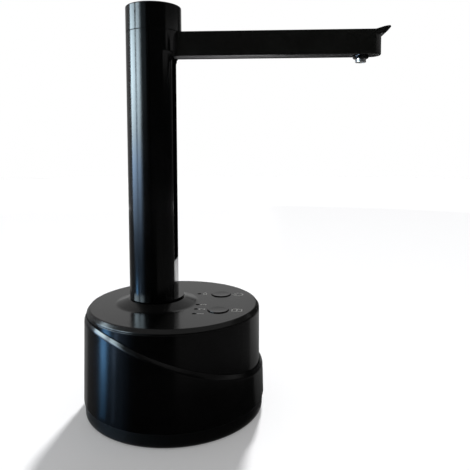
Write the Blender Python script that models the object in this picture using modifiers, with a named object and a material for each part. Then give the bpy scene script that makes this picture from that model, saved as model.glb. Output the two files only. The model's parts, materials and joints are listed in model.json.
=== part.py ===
"""Desktop water pump for bottled water, with a folding spout arm.

Metres, +Z up. The origin is the centre of the underside, on the non-slip pad. The arm points
along +X and the column stands behind the centre. The arm folds down by 90 degrees about the
hinge in the column's head and then lies in the channel of the column.
"""
import math

import bmesh
import bpy
from mathutils import Vector

# Smoothness: sides of round pieces
SIDES_BASE = 72
SIDES_COLUMN = 48
SIDES_MEDIUM = 24
SIDES_SMALL = 16
CORD_BEVEL_COUNT = 2

# Clearances shared by all pieces
GAP = 0.0003
OVERRUN = 0.002
MERGE = 0.00001

# Base: sleeve, whose foot sets the width of all the rest
SLEEVE_FOOT_R = 0.0624
SLEEVE_TAPER = 0.0014
SLEEVE_TOP_WALL = 0.0011
SLEEVE_CHAMFER_DROP = 0.0026
SLEEVE_FIT = 0.0004
SLEEVE_BACK_DROP = 0.0012
SLEEVE_FRONT_DROP = 0.0371
SLEEVE_SLOPE = 0.359
SLEEVE_BEND_INSET = 0.0410

# Base: non-slip pad and bottom cover
COVER_STEP = 0.0004
COVER_TAPER = 0.0006
COVER_STAND = 0.0006
COVER_EDGE = 0.0010
COVER_FLOOR = 0.0024
COVER_RIM_WALL = 0.0060
COVER_HEIGHT = 0.0088
PAD_MARGIN = 0.0054
PAD_THICK = 0.0015
PAD_EDGE = 0.0005

# Base: housing and top panel
HOUSING_WALL = 0.0022
HOUSING_HEIGHT = 0.0592
PANEL_THICK = 0.0029
PANEL_BEVEL = 0.0019
PANEL_EDGE_LAND = 0.0004
PANEL_RIB_DEPTH = 0.0030
PANEL_RIB_WALL = 0.0016

# Bottom cover screws and the bosses that take them
COVER_SCREW_COUNT = 4
COVER_SCREW_INSET = 0.0073
COVER_PILLAR_R = 0.0045
COVER_SCREW_R = 0.0014
COVER_SCREW_HOLE_R = 0.0018
COVER_SCREW_HEAD_R = 0.0028
COVER_SCREW_HEAD_THICK = 0.0020
COVER_SCREW_SINK = 0.0028
COVER_SCREW_LENGTH = 0.0150
HOUSING_BOSS_R = 0.0040
HOUSING_BOSS_HEIGHT = 0.0150

# Column
COLUMN_X = -0.0120
COLUMN_R = 0.0188
COLUMN_WALL = 0.0016
COLUMN_SPLIT_X = 0.0005
COLUMN_FLAT_X = 0.0137
COLUMN_FRONT_WALL = 0.0019
FOOT_FLANGE = 0.0014
FOOT_SOLID = 0.0042
FOOT_EDGE = 0.0006
CONE_R = 0.0283
CONE_TOP_R = 0.0196
CONE_HEIGHT = 0.0034
CAP_HEIGHT = 0.0171
CAP_WALL = 0.0018
CAP_TOP_THICK = 0.0024
CAP_EDGE = 0.0008
CAP_PLUG_DEPTH = 0.0050
CAP_PLUG_WALL = 0.0016
CAP_PLUG_FRONT_X = -0.0030
FLAT_DROP = 0.01335
FLAT_SLOPE = 1.5

# Arm, given from its hinge
ARM_WIDTH = 0.0150
ARM_HEIGHT = 0.0161
ARM_REACH = 0.1435
ARM_WALL = 0.0014
ARM_ROOF = 0.0016
ARM_EDGE = 0.0010
ARM_TIP_R = 0.0012
ARM_END_R = 0.0045
LIP_REACH = 0.0066
LIP_RISE = 0.0017
LIP_THICK = 0.0018
LIP_FLARE = 0.0040
LIP_ROOT_DEPTH = 0.0036
ARM_COVER_THICK = 0.0015
ARM_COVER_START = 0.0050
ARM_COVER_END_WALL = 0.0022
HINGE_X = 0.0083

# Channel of the column that takes the folded arm
CHANNEL_SIDE_GAP = 0.0009
CHANNEL_FLOOR_GAP = 0.00025
CHANNEL_WALL = 0.0012
CHANNEL_FLOOR = 0.0014
CHANNEL_END_GAP = 0.0030
CHANNEL_END_WALL = 0.0030
CHANNEL_LIFT = 0.02655
NOZZLE_POCKET_GAP = 0.0012

# Hinge: pin on the near side, hollow swivel on the far side
PIN_R = 0.0018
PIN_BOSS_R = 0.0038
PIN_BOSS_END_Y = 0.0136
PIN_END_Y = 0.0128
PIN_DEPTH = 0.0036
WASHER_R = 0.0044
WASHER_THICK = 0.0004
SWIVEL_R = 0.0022
SWIVEL_BORE_R = 0.0014
SWIVEL_SIDE_Y = 0.0121
SWIVEL_DEPTH = 0.0042
SWIVEL_CLEARANCE = 0.0004
SEAL_R = 0.00045
SEAL_INSET = 0.0019
SEAL_SEAT = 0.0005
BLOCK_R = 0.0048
BLOCK_BARB_REACH = 0.0125

# Nozzle
NOZZLE_INSET = 0.0124
NOZZLE_COLLAR_R = 0.0054
NOZZLE_COLLAR_THICK = 0.0018
NOZZLE_TUBE_R = 0.0036
NOZZLE_DROP = 0.0045
NOZZLE_WALL = 0.0008
NOZZLE_FLANGE_R = 0.0045
NOZZLE_FLANGE_THICK = 0.0010
NOZZLE_BARB_HEIGHT = 0.0020

# Hoses
HOSE_R = 0.0035
HOSE_BORE_R = 0.0026
RISER_X = -0.0115
RISER_OVERLAP = 0.0100
ARM_HOSE_R = 0.0026
ARM_HOSE_BORE_R = 0.0018
BARB_R = 0.0013
BARB_BORE_R = 0.0008
HOSE_HOLE_R = 0.0043

# Column screws, given from the column's axis
COLUMN_SCREW_R = 0.0014
COLUMN_SCREW_HOLE_R = 0.0018
COLUMN_SCREW_HEAD_R = 0.0028
COLUMN_SCREW_HEAD_THICK = 0.0020
COLUMN_SCREW_LENGTH = 0.0160
COLUMN_BOSS_R = 0.0038
COLUMN_BOSS_HEIGHT = 0.0130
FRONT_SCREW_X = 0.0075
REAR_SCREW_X = -0.0045
REAR_SCREW_Y = 0.0110

# Buttons, switches, lights and board
BUTTON_INSET = 0.0260
BUTTON_Y = 0.0188
NEAR_BUTTON_SHIFT = 0.0008
BUTTON_R = 0.0067
BUTTON_PROUD = 0.0006
BUTTON_CAP_THICK = 0.0044
BUTTON_EDGE = 0.0004
BUTTON_FLANGE_R = 0.0084
BUTTON_FLANGE_THICK = 0.0012
BUTTON_STEM_R = 0.0026
BUTTON_TRAVEL = 0.0008
SWITCH_SIDE = 0.0060
SWITCH_HEIGHT = 0.0036
SWITCH_BORE_DEPTH = 0.0026
PLUNGER_R = 0.0017
PLUNGER_PROUD = 0.0014
LIGHT_R = 0.0012
LIGHT_SINK = 0.0003
LIGHT_OFFSET = 0.0142
LIGHT_PITCH = 0.0100
NEAR_LIGHT_SHIFT = 0.0018
FAR_LIGHT_OFFSET = 0.0162
FAR_LIGHT_SHIFT = 0.0010
LED_SIDE = 0.0030
LED_HEIGHT = 0.0012
BOARD_DROP = 0.0088
BOARD_THICK = 0.0016
BOARD_MARGIN = 0.0058
BOARD_CHORD_X = 0.0080
BOARD_POST_R = 0.0026
BOARD_SCREW_R = 0.0010
BOARD_SCREW_HEAD_R = 0.0020
BOARD_SCREW_HEAD_THICK = 0.0014
BOARD_SCREW_LENGTH = 0.0060
BOARD_SCREW_INSET = 0.0065
BOARD_ARC_POINTS = 15

# Rechargeable cell and cradle
CELL_MARGIN = 0.00676
CELL_R = 0.0092
CELL_LENGTH = 0.0500
CELL_EDGE = 0.0010
CELL_NUB_R = 0.0030
CELL_NUB = 0.0008
CRADLE_HALF_WIDTH = 0.0104
CRADLE_BASE = 0.0020
CRADLE_HEIGHT = 0.0130
CRADLE_END_WALL = 0.0022

# Back recess with charging socket and hose inlet
RECESS_HALF_WIDTH = 0.0147
RECESS_HALF_HEIGHT = 0.0077
RECESS_Z = 0.0200
RECESS_DEPTH = 0.0135
RECESS_LIP = 0.0010
RECESS_WALL = 0.0015
SOCKET_Y = -0.0065
SOCKET_WIDTH = 0.0090
SOCKET_HEIGHT = 0.0032
SOCKET_DEPTH = 0.0073
SOCKET_PROUD = 0.0010
SOCKET_METAL = 0.0004
INLET_Y = 0.0065
INLET_BARB_R = 0.0034
INLET_CORE_R = 0.0030
INLET_BARB_LENGTH = 0.0024
INLET_BARB_COUNT = 4
INLET_FLANGE_R = 0.0050
INLET_FLANGE_THICK = 0.0013
INLET_BORE_R = 0.0014
INLET_TAIL_R = 0.0022
INLET_TAIL_LENGTH = 0.0045
CHARGER_LENGTH = 0.0150
CHARGER_WIDTH = 0.0140
CHARGER_THICK = 0.0014
CHARGER_POST_R = 0.0024
CHARGER_POST_INSET = 0.0110

# Motor and gear pump, whose shaft runs along Y
MOTOR_SETBACK = 0.0330
MOTOR_Z = 0.0270
MOTOR_R = 0.0120
MOTOR_WALL = 0.0010
MOTOR_FRONT_Y = 0.0024
MOTOR_LENGTH = 0.0300
MOTOR_CAP_THICK = 0.0024
ARMATURE_R = 0.0090
ARMATURE_LENGTH = 0.0180
ARMATURE_START_Y = -0.0050
COMMUTATOR_R = 0.0035
COMMUTATOR_LENGTH = 0.0040
SHAFT_R = 0.00115
SHAFT_BORE_R = 0.00155
SHAFT_TAIL = 0.0008
PUMP_HALF_WIDTH = 0.0130
PUMP_SIDE_WALL = 0.0030
PUMP_BACK_Y = 0.0030
PUMP_BACK_THICK = 0.0025
PUMP_COVER_THICK = 0.0028
PUMP_COLLAR_WALL = 0.0014
PUMP_COLLAR_DEPTH = 0.0045
PUMP_PASSAGE_R = 0.0020
PUMP_BARB_LENGTH = 0.0045
GEAR_TEETH = 10
GEAR_PITCH_R = 0.0050
GEAR_TIP_R = 0.0057
GEAR_ROOT_R = 0.0038
GEAR_TOOTH_THICK = 0.00125
GEAR_WIDTH = 0.0080
GEAR_TIP_CLEARANCE = 0.0005
PRESSURE_ANGLE = math.radians(20)
IDLER_PIN_R = 0.0014
IDLER_BORE_R = 0.0018
SADDLE_HALF_WIDTH = 0.0110
SADDLE_FRONT_Y = -0.0060
SADDLE_BACK_Y = -0.0240
STRAP_WALL = 0.0016
STRAP_WIDTH = 0.0080

# Leads
LEAD_R = 0.0008
LEAD_END_GAP = 0.0004

# Worked out from the sizes above
SLEEVE_TOP_R = SLEEVE_FOOT_R - SLEEVE_TAPER
SLEEVE_INNER_R = SLEEVE_TOP_R - SLEEVE_TOP_WALL
HOUSING_R = SLEEVE_INNER_R - SLEEVE_FIT
COVER_SEAM_R = SLEEVE_FOOT_R - COVER_STEP
COVER_FOOT_R = COVER_SEAM_R - COVER_TAPER
COVER_RIM_INNER_R = COVER_SEAM_R - COVER_RIM_WALL
PAD_R = COVER_FOOT_R - PAD_MARGIN
SEAM_Z = COVER_STAND + COVER_HEIGHT
COVER_UNDER_Z = PAD_THICK + GAP
FLOOR_Z = COVER_UNDER_Z + COVER_FLOOR
SHELL_FOOT_Z = SEAM_Z + GAP
HOUSING_INNER_R = HOUSING_R - HOUSING_WALL
HOUSING_TOP_Z = SHELL_FOOT_Z + HOUSING_HEIGHT
PANEL_UNDER_Z = HOUSING_TOP_Z + GAP
PANEL_TOP_Z = PANEL_UNDER_Z + PANEL_THICK
PANEL_DISC_R = HOUSING_R - PANEL_BEVEL
SLEEVE_BACK_Z = HOUSING_TOP_Z - SLEEVE_BACK_DROP
SLEEVE_FRONT_Z = HOUSING_TOP_Z - SLEEVE_FRONT_DROP
SLEEVE_BEND_X = SLEEVE_BEND_INSET - SLEEVE_TOP_R
COVER_SCREW_RING_R = HOUSING_INNER_R - COVER_SCREW_INSET
SEAT_Z = PANEL_TOP_Z + CONE_HEIGHT
COLUMN_FOOT_Z = SEAT_Z + GAP
COLUMN_INNER_R = COLUMN_R - COLUMN_WALL
ARM_HALF = ARM_HEIGHT / 2
CHANNEL_BOTTOM_Z = COLUMN_FOOT_Z + CHANNEL_LIFT
COLUMN_TOP_Z = CHANNEL_BOTTOM_Z + CHANNEL_END_GAP + ARM_REACH + ARM_HALF
HINGE = Vector((COLUMN_X + HINGE_X, 0, COLUMN_TOP_Z - ARM_HALF))
CHANNEL_HALF = ARM_WIDTH / 2 + CHANNEL_SIDE_GAP
CHANNEL_FLOOR_X = HINGE_X - ARM_HALF - CHANNEL_FLOOR_GAP
CHANNEL_OUTER = CHANNEL_HALF + CHANNEL_WALL
CAP_FOOT_Z = COLUMN_TOP_Z + GAP
CAP_TOP_Z = CAP_FOOT_Z + CAP_HEIGHT
FLAT_TOP_Z = COLUMN_TOP_Z - FLAT_DROP
NOZZLE_X = ARM_REACH - NOZZLE_INSET
BUTTON_X = PANEL_DISC_R - BUTTON_INSET
BOARD_R = HOUSING_INNER_R - BOARD_MARGIN
BOARD_TOP_Z = PANEL_UNDER_Z - BOARD_DROP
BOARD_SCREW_X = BOARD_R - BOARD_SCREW_INSET
RECESS_MOUTH_X = -HOUSING_R - RECESS_LIP
RECESS_BACK_X = RECESS_MOUTH_X + RECESS_DEPTH
CHARGER_POST_X = RECESS_BACK_X + CHARGER_POST_INSET
MOTOR_X = RECESS_BACK_X + MOTOR_SETBACK
CRADLE_HALF_LENGTH = CELL_LENGTH / 2 + GAP + CRADLE_END_WALL
CRADLE_CORNER_X = math.sqrt((HOUSING_INNER_R - CELL_MARGIN) ** 2 - CRADLE_HALF_LENGTH**2)
CELL_X = CRADLE_CORNER_X - CRADLE_HALF_WIDTH
BUTTON_FOOT_Z = PANEL_TOP_Z + BUTTON_PROUD - BUTTON_CAP_THICK
SWITCH_TOP_Z = BOARD_TOP_Z + GAP + SWITCH_HEIGHT
PLUNGER_TOP_Z = SWITCH_TOP_Z + PLUNGER_PROUD
CELL_Z = FLOOR_Z + GAP + CRADLE_BASE + GAP + CELL_R
GEAR_MESH_Z = MOTOR_Z - GEAR_PITCH_R
IDLER_Z = MOTOR_Z - 2 * GEAR_PITCH_R
GEAR_START_Y = PUMP_BACK_Y + PUMP_BACK_THICK + GAP
GEAR_MIDDLE_Y = GEAR_START_Y + GEAR_WIDTH / 2
PUMP_FRONT_Y = GEAR_START_Y + GEAR_WIDTH + GAP
BUTTON_PLACES = {
    "power": (BUTTON_X, BUTTON_Y),
    "amount": (BUTTON_X + NEAR_BUTTON_SHIFT, -BUTTON_Y),
}
LIGHT_PLACES = [(BUTTON_X - FAR_LIGHT_OFFSET, BUTTON_Y + FAR_LIGHT_SHIFT)] + [
    (BUTTON_X - LIGHT_OFFSET, NEAR_LIGHT_SHIFT - BUTTON_Y + (step - 1) * LIGHT_PITCH)
    for step in range(3)
]

# Routes of hoses and leads, as shares of the span between their two ends
RISER_ROUTE_SHARES = (
    (-0.29, 0.00, 0.000),
    (-0.56, 0.00, 0.012),
    (-0.73, 0.00, 0.038),
    (-0.75, 0.00, 0.070),
    (-0.60, 0.03, 0.108),
    (-0.25, 0.18, 0.136),
    (0.23, 0.49, 0.153),
    (0.67, 0.78, 0.169),
    (0.93, 0.95, 0.195),
    (1.00, 1.00, 0.225),
    (1.00, 1.00, 0.272),
)
INLET_ROUTE_SHARES = (
    (0.22, 0.00, 0.00),
    (0.36, 0.12, 0.12),
    (0.50, 0.50, 0.50),
    (0.64, 0.88, 0.88),
    (0.78, 1.00, 1.00),
)
ARM_HOSE_ROUTE_SHARES = (
    (0.10, 0.00),
    (0.50, -0.12),
    (0.890, -0.47),
    (0.945, -0.43),
    (0.980, -0.12),
    (0.998, 0.38),
    (1.000, 0.68),
)
LEAD_ROUTE_SHARES = ((0.0, 0.0, 0.25), (0.05, 0.06, 0.50), (0.60, 0.60, 0.80), (1.0, 1.0, 0.92))


def clear_scene():
    for thing in list(bpy.data.objects):
        bpy.data.objects.remove(thing, do_unlink=True)


def new_collection(name):
    collection = bpy.data.collections.new(name)
    bpy.context.scene.collection.children.link(collection)
    return collection


clear_scene()
PARTS = new_collection("bottled_water_pump")
CUTTERS = new_collection("cutters")


def make_material(name, color, roughness, metallic=0.0):
    material = bpy.data.materials.new(name)
    material.use_nodes = True
    shader = material.node_tree.nodes["Principled BSDF"]
    shader.inputs["Base Color"].default_value = (*color, 1)
    shader.inputs["Roughness"].default_value = roughness
    shader.inputs["Metallic"].default_value = metallic
    return material


GLOSS_BLACK = make_material("gloss_black", (0.012, 0.013, 0.015), 0.16)
SATIN_BLACK = make_material("satin_black", (0.018, 0.018, 0.018), 0.35)
RUBBER = make_material("rubber", (0.03, 0.03, 0.03), 0.8)
STEEL = make_material("steel", (0.60, 0.60, 0.62), 0.3, 1.0)
BRASS = make_material("brass", (0.70, 0.50, 0.20), 0.3, 1.0)
WHITE_PLASTIC = make_material("white_plastic", (0.78, 0.78, 0.76), 0.4)
SMOKE = make_material("smoke_lens", (0.10, 0.10, 0.11), 0.1)
BOARD_GREEN = make_material("board_green", (0.02, 0.18, 0.07), 0.4)
CELL_BLUE = make_material("cell_blue", (0.05, 0.16, 0.40), 0.3)
SILICONE = make_material("silicone", (0.75, 0.76, 0.76), 0.35)
LEAD_RED = make_material("lead_red", (0.60, 0.02, 0.02), 0.45)
LEAD_BLACK = make_material("lead_black", (0.02, 0.02, 0.02), 0.45)


def finish(obj, material, smooth_angle=40):
    """Give a kept piece its material and shade its round faces smooth."""
    obj.data.materials.clear()
    obj.data.materials.append(material)
    if obj.type == "MESH":
        obj.data.shade_smooth()
        obj.data.set_sharp_from_angle(angle=math.radians(smooth_angle))
    return obj


def add(name, data, place=(0, 0, 0), parent=None):
    obj = bpy.data.objects.new(name, data)
    obj.location = place
    obj.parent = parent
    PARTS.objects.link(obj)
    return obj


def from_bmesh(name, shape, place=(0, 0, 0), parent=None):
    mesh = bpy.data.meshes.new(name)
    shape.to_mesh(mesh)
    shape.free()
    return add(name, mesh, place, parent)


def add_empty(name, place):
    return add(name, None, place)


def turn_bmesh(shape, axis):
    """Lay a shape that was made along Z along another axis."""
    direction = {"X": Vector((1, 0, 0)), "Y": Vector((0, 1, 0)), "Z": Vector((0, 0, 1))}[axis]
    turn = Vector((0, 0, 1)).rotation_difference(direction).to_matrix()
    bmesh.ops.rotate(shape, verts=shape.verts, matrix=turn)


def rod(name, radius, start, length, axis="Z", sides=SIDES_SMALL, end_radius=None, parent=None):
    """Round bar from the middle of its first end face, along an axis."""
    shape = bmesh.new()
    bmesh.ops.create_cone(
        shape,
        cap_ends=True,
        segments=sides,
        radius1=radius,
        radius2=radius if end_radius is None else end_radius,
        depth=length,
    )
    bmesh.ops.translate(shape, verts=shape.verts, vec=(0, 0, length / 2))
    turn_bmesh(shape, axis)
    return from_bmesh(name, shape, start, parent)


def rods(name, radius, places, start_z, length, sides=SIDES_SMALL):
    """Several upright bars in one object, for bosses and holes."""
    shape = bmesh.new()
    for x, y in places:
        made = bmesh.ops.create_cone(
            shape, cap_ends=True, segments=sides, radius1=radius, radius2=radius, depth=length
        )
        bmesh.ops.translate(shape, verts=made["verts"], vec=(x, y, start_z + length / 2))
    return from_bmesh(name, shape)


def box(name, low, high, parent=None, place=(0, 0, 0)):
    low = Vector(low)
    high = Vector(high)
    shape = bmesh.new()
    bmesh.ops.create_cube(shape, size=1)
    bmesh.ops.scale(shape, verts=shape.verts, vec=high - low)
    bmesh.ops.translate(shape, verts=shape.verts, vec=(low + high) / 2)
    return from_bmesh(name, shape, place, parent)


def turned(name, profile, place=(0, 0, 0), axis="Z", sides=SIDES_SMALL, closed=False, parent=None):
    """Turned piece. The profile is (radius, height), down its outer side."""
    shape = bmesh.new()
    points = [shape.verts.new((radius, 0, height)) for radius, height in profile]
    for first, second in zip(points, points[1:]):
        shape.edges.new((first, second))
    if closed:
        shape.edges.new((points[-1], points[0]))
    obj = from_bmesh(name, shape, place, parent)
    screw = obj.modifiers.new("turn", "SCREW")
    screw.steps = sides
    screw.render_steps = sides
    screw.use_merge_vertices = True
    screw.merge_threshold = MERGE
    if axis == "X":
        obj.rotation_euler = (0, math.pi / 2, 0)
    if axis == "Y":
        obj.rotation_euler = (-math.pi / 2, 0, 0)
    return obj


def outline(name, loops, thickness, middle=(0, 0, 0), upright=False, parent=None):
    """Flat outline of one or more closed loops, with its thickness about the middle plane."""
    curve = bpy.data.curves.new(name, "CURVE")
    curve.dimensions = "2D"
    curve.fill_mode = "BOTH"
    curve.extrude = thickness / 2
    for loop in loops:
        spline = curve.splines.new("POLY")
        spline.points.add(len(loop) - 1)
        for point, (across, along) in zip(spline.points, loop):
            point.co = (across, along, 0, 1)
        spline.use_cyclic_u = True
    obj = add(name, curve, middle, parent)
    if upright:
        obj.rotation_euler = (math.pi / 2, 0, 0)
    return obj


def tube(name, points, radius, parent=None, place=(0, 0, 0)):
    curve = bpy.data.curves.new(name, "CURVE")
    curve.dimensions = "3D"
    curve.bevel_depth = radius
    curve.bevel_resolution = CORD_BEVEL_COUNT
    curve.use_fill_caps = True
    spline = curve.splines.new("POLY")
    spline.points.add(len(points) - 1)
    for point, position in zip(spline.points, points):
        point.co = (*position, 1)
    return add(name, curve, place, parent)


def to_mesh(curve_object):
    """Replace a curve object by a mesh of the same name with its caps welded on."""
    bpy.context.view_layer.update()
    graph = bpy.context.evaluated_depsgraph_get()
    mesh = bpy.data.meshes.new_from_object(curve_object.evaluated_get(graph))
    shape = bmesh.new()
    shape.from_mesh(mesh)
    bmesh.ops.remove_doubles(shape, verts=shape.verts, dist=MERGE)
    bmesh.ops.recalc_face_normals(shape, faces=shape.faces)
    shape.to_mesh(mesh)
    shape.free()
    name = curve_object.name
    parent = curve_object.parent
    matrix = curve_object.matrix_world.copy()
    bpy.data.objects.remove(curve_object, do_unlink=True)
    obj = add(name, mesh, parent=parent)
    obj.matrix_world = matrix
    return obj


def combine(target, other, operation):
    """Add a Boolean to the target, and put the other object away with the cutters."""
    modifier = target.modifiers.new(other.name, "BOOLEAN")
    modifier.operation = operation
    modifier.object = other
    PARTS.objects.unlink(other)
    CUTTERS.objects.link(other)
    other.hide_render = True
    other.display_type = "WIRE"


def cut(target, *cutters):
    for cutter in cutters:
        combine(target, cutter, "DIFFERENCE")


def join(target, *others):
    for other in others:
        combine(target, other, "UNION")


def soften(obj, width, segments=1):
    bevel = obj.modifiers.new("soften", "BEVEL")
    bevel.width = width
    bevel.segments = segments
    bevel.limit_method = "ANGLE"


def smooth_route(points, steps=4):
    """Points along a Catmull-Rom curve through the route's own points."""
    points = [Vector(point) for point in points]
    route = []
    for index in range(len(points) - 1):
        before = points[max(index - 1, 0)]
        start = points[index]
        end = points[index + 1]
        after = points[min(index + 2, len(points) - 1)]
        for step in range(steps):
            t = step / steps
            route.append(
                (
                    2 * start
                    + (end - before) * t
                    + (2 * before - 5 * start + 4 * end - after) * t**2
                    + (3 * start - before - 3 * end + after) * t**3
                )
                / 2
            )
    route.append(points[-1])
    return route


def hose(name, points, radius, bore_radius, parent=None, place=(0, 0, 0)):
    """Hose with its bore. The bore's tool runs a little past both ends."""
    body = to_mesh(tube(name, points, radius, parent, place))
    first = (points[0] - points[1]).normalized() * OVERRUN
    last = (points[-1] - points[-2]).normalized() * OVERRUN
    bore_points = [points[0] + first, *points, points[-1] + last]
    cut(body, to_mesh(tube(name + "_bore", bore_points, bore_radius, parent, place)))
    return body


def ring_places(count, radius, first_angle=0.0):
    angles = [first_angle + math.tau * step / count for step in range(count)]
    return [(radius * math.cos(angle), radius * math.sin(angle)) for angle in angles]


def screw(name, place, shank_radius, head_radius, head_thick, length, direction=1):
    """Pan-head screw whose head starts at the place and whose shank goes up or down."""
    profile = [
        (0, length),
        (shank_radius / 2, length),
        (shank_radius, length - shank_radius),
        (shank_radius, head_thick),
        (head_radius, head_thick),
        (head_radius, head_thick / 2),
        (head_radius - head_thick / 2, 0),
        (0, 0),
    ]
    obj = turned(name, profile, place, sides=SIDES_SMALL)
    if direction < 0:
        obj.rotation_euler = (math.pi, 0, 0)
    return finish(obj, STEEL)


def sleeve_edge_z(x):
    """Height of the sleeve's top edge: a straight slope that bends level at the back."""
    if x > SLEEVE_BEND_X:
        return SLEEVE_FRONT_Z + (SLEEVE_TOP_R - x) * SLEEVE_SLOPE
    bend_z = SLEEVE_FRONT_Z + (SLEEVE_TOP_R - SLEEVE_BEND_X) * SLEEVE_SLOPE
    rise = SLEEVE_BACK_Z - bend_z
    reach = 2 * rise / SLEEVE_SLOPE
    share = min((SLEEVE_BEND_X - x) / reach, 1)
    return bend_z + rise * (2 * share - share**2)


def back_window(name, from_radius):
    """Opening for the back recess, through everything outside the given radius."""
    half_width = RECESS_HALF_WIDTH + GAP
    half_height = RECESS_HALF_HEIGHT + GAP
    return box(
        name,
        (-SLEEVE_FOOT_R - OVERRUN, -half_width, RECESS_Z - half_height),
        (-from_radius, half_width, RECESS_Z + half_height),
    )


def make_pad():
    profile = [
        (0, PAD_THICK),
        (PAD_R, PAD_THICK),
        (PAD_R, PAD_EDGE),
        (PAD_R - PAD_EDGE, 0),
        (0, 0),
    ]
    finish(turned("non_slip_pad", profile, sides=SIDES_BASE), RUBBER)


def make_bottom_cover():
    recess_r = PAD_R + GAP
    profile = [
        (0, FLOOR_Z),
        (COVER_RIM_INNER_R, FLOOR_Z),
        (COVER_RIM_INNER_R, SEAM_Z),
        (COVER_SEAM_R, SEAM_Z),
        (COVER_FOOT_R, COVER_STAND + COVER_EDGE),
        (COVER_FOOT_R - COVER_EDGE, COVER_STAND),
        (recess_r, COVER_STAND),
        (recess_r, COVER_UNDER_Z),
        (0, COVER_UNDER_Z),
    ]
    cover = turned("bottom_cover", profile, sides=SIDES_BASE)
    places = ring_places(COVER_SCREW_COUNT, COVER_SCREW_RING_R, math.pi / COVER_SCREW_COUNT)
    pillar_foot_z = COVER_UNDER_Z + COVER_FLOOR / 2
    join(
        cover,
        rods("pillars", COVER_PILLAR_R, places, pillar_foot_z, SEAM_Z - pillar_foot_z - GAP),
        rods(
            "charger_posts",
            CHARGER_POST_R,
            [(CHARGER_POST_X, SOCKET_Y)],
            pillar_foot_z,
            charger_z() - CHARGER_THICK / 2 - GAP - pillar_foot_z,
        ),
    )
    cut(
        cover,
        rods("screw_holes", COVER_SCREW_HOLE_R, places, 0, SEAM_Z + OVERRUN),
        rods("screw_sinks", COVER_SCREW_HEAD_R + GAP, places, 0, COVER_UNDER_Z + COVER_SCREW_SINK),
    )
    finish(cover, SATIN_BLACK)
    head_z = COVER_UNDER_Z + COVER_SCREW_SINK - GAP - COVER_SCREW_HEAD_THICK
    for number, (x, y) in enumerate(places, 1):
        screw(
            f"cover_screw_{number}",
            (x, y, head_z),
            COVER_SCREW_R,
            COVER_SCREW_HEAD_R,
            COVER_SCREW_HEAD_THICK,
            COVER_SCREW_LENGTH,
        )


def make_housing():
    profile = [
        (HOUSING_INNER_R, HOUSING_TOP_Z),
        (HOUSING_R, HOUSING_TOP_Z),
        (HOUSING_R, SHELL_FOOT_Z),
        (HOUSING_INNER_R, SHELL_FOOT_Z),
    ]
    housing = turned("upper_housing", profile, sides=SIDES_BASE, closed=True)
    places = ring_places(COVER_SCREW_COUNT, COVER_SCREW_RING_R, math.pi / COVER_SCREW_COUNT)
    wall_places = ring_places(COVER_SCREW_COUNT, HOUSING_INNER_R, math.pi / COVER_SCREW_COUNT)
    join(housing, rods("bosses", HOUSING_BOSS_R, places, SHELL_FOOT_Z, HOUSING_BOSS_HEIGHT))
    for number, ((x, y), (wall_x, wall_y)) in enumerate(zip(places, wall_places), 1):
        web = box(
            f"boss_web_{number}",
            (0, -COVER_SCREW_R, SHELL_FOOT_Z),
            (HOUSING_INNER_R - COVER_SCREW_RING_R + COVER_SCREW_R, COVER_SCREW_R, SHELL_FOOT_Z + HOUSING_BOSS_HEIGHT),
            place=(x, y, 0),
        )
        web.rotation_euler = (0, 0, math.atan2(wall_y, wall_x))
        join(housing, web)
    shank_end_z = COVER_UNDER_Z + COVER_SCREW_SINK - GAP - COVER_SCREW_HEAD_THICK + COVER_SCREW_LENGTH
    cut(
        housing,
        rods("pilot_holes", COVER_SCREW_HOLE_R, places, 0, shank_end_z + GAP),
        back_window("housing_window", COVER_SCREW_RING_R),
    )
    finish(housing, GLOSS_BLACK)


def make_sleeve():
    profile = [
        (SLEEVE_INNER_R, SLEEVE_BACK_Z),
        (SLEEVE_TOP_R, SLEEVE_BACK_Z),
        (SLEEVE_FOOT_R, SHELL_FOOT_Z),
        (SLEEVE_INNER_R, SHELL_FOOT_Z),
    ]
    shape = bmesh.new()
    points = [shape.verts.new((radius, 0, height)) for radius, height in profile]
    edges = [shape.edges.new((points[i], points[(i + 1) % len(points)])) for i in range(len(points))]
    bmesh.ops.spin(
        shape,
        geom=points + edges,
        cent=(0, 0, 0),
        axis=(0, 0, 1),
        angle=math.tau,
        steps=SIDES_BASE,
        use_merge=True,
    )
    bmesh.ops.remove_doubles(shape, verts=shape.verts, dist=MERGE)
    middle_r = (SLEEVE_INNER_R + SLEEVE_TOP_R) / 2
    slope_in = (SLEEVE_FOOT_R - SLEEVE_TOP_R) / (SLEEVE_BACK_Z - SHELL_FOOT_Z)
    for vert in shape.verts:
        if vert.co.z < SEAM_Z + OVERRUN:
            continue
        edge_z = sleeve_edge_z(vert.co.x)
        if vert.co.xy.length < middle_r:
            vert.co.z = edge_z
            continue
        vert.co.z = edge_z - SLEEVE_CHAMFER_DROP
        radius = SLEEVE_TOP_R + slope_in * (SLEEVE_BACK_Z - vert.co.z)
        vert.co.xy = vert.co.xy.normalized() * radius
    bmesh.ops.recalc_face_normals(shape, faces=shape.faces)
    sleeve = from_bmesh("base_sleeve", shape)
    cut(sleeve, back_window("sleeve_window", COVER_SCREW_RING_R))
    finish(sleeve, GLOSS_BLACK)


def column_screw_places():
    return [
        (COLUMN_X + FRONT_SCREW_X, 0),
        (COLUMN_X + REAR_SCREW_X, REAR_SCREW_Y),
        (COLUMN_X + REAR_SCREW_X, -REAR_SCREW_Y),
    ]


def board_screw_places():
    return [(BOARD_SCREW_X, 0), (BOARD_CHORD_X + BOARD_POST_R + GAP, BUTTON_Y * 2)]


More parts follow.
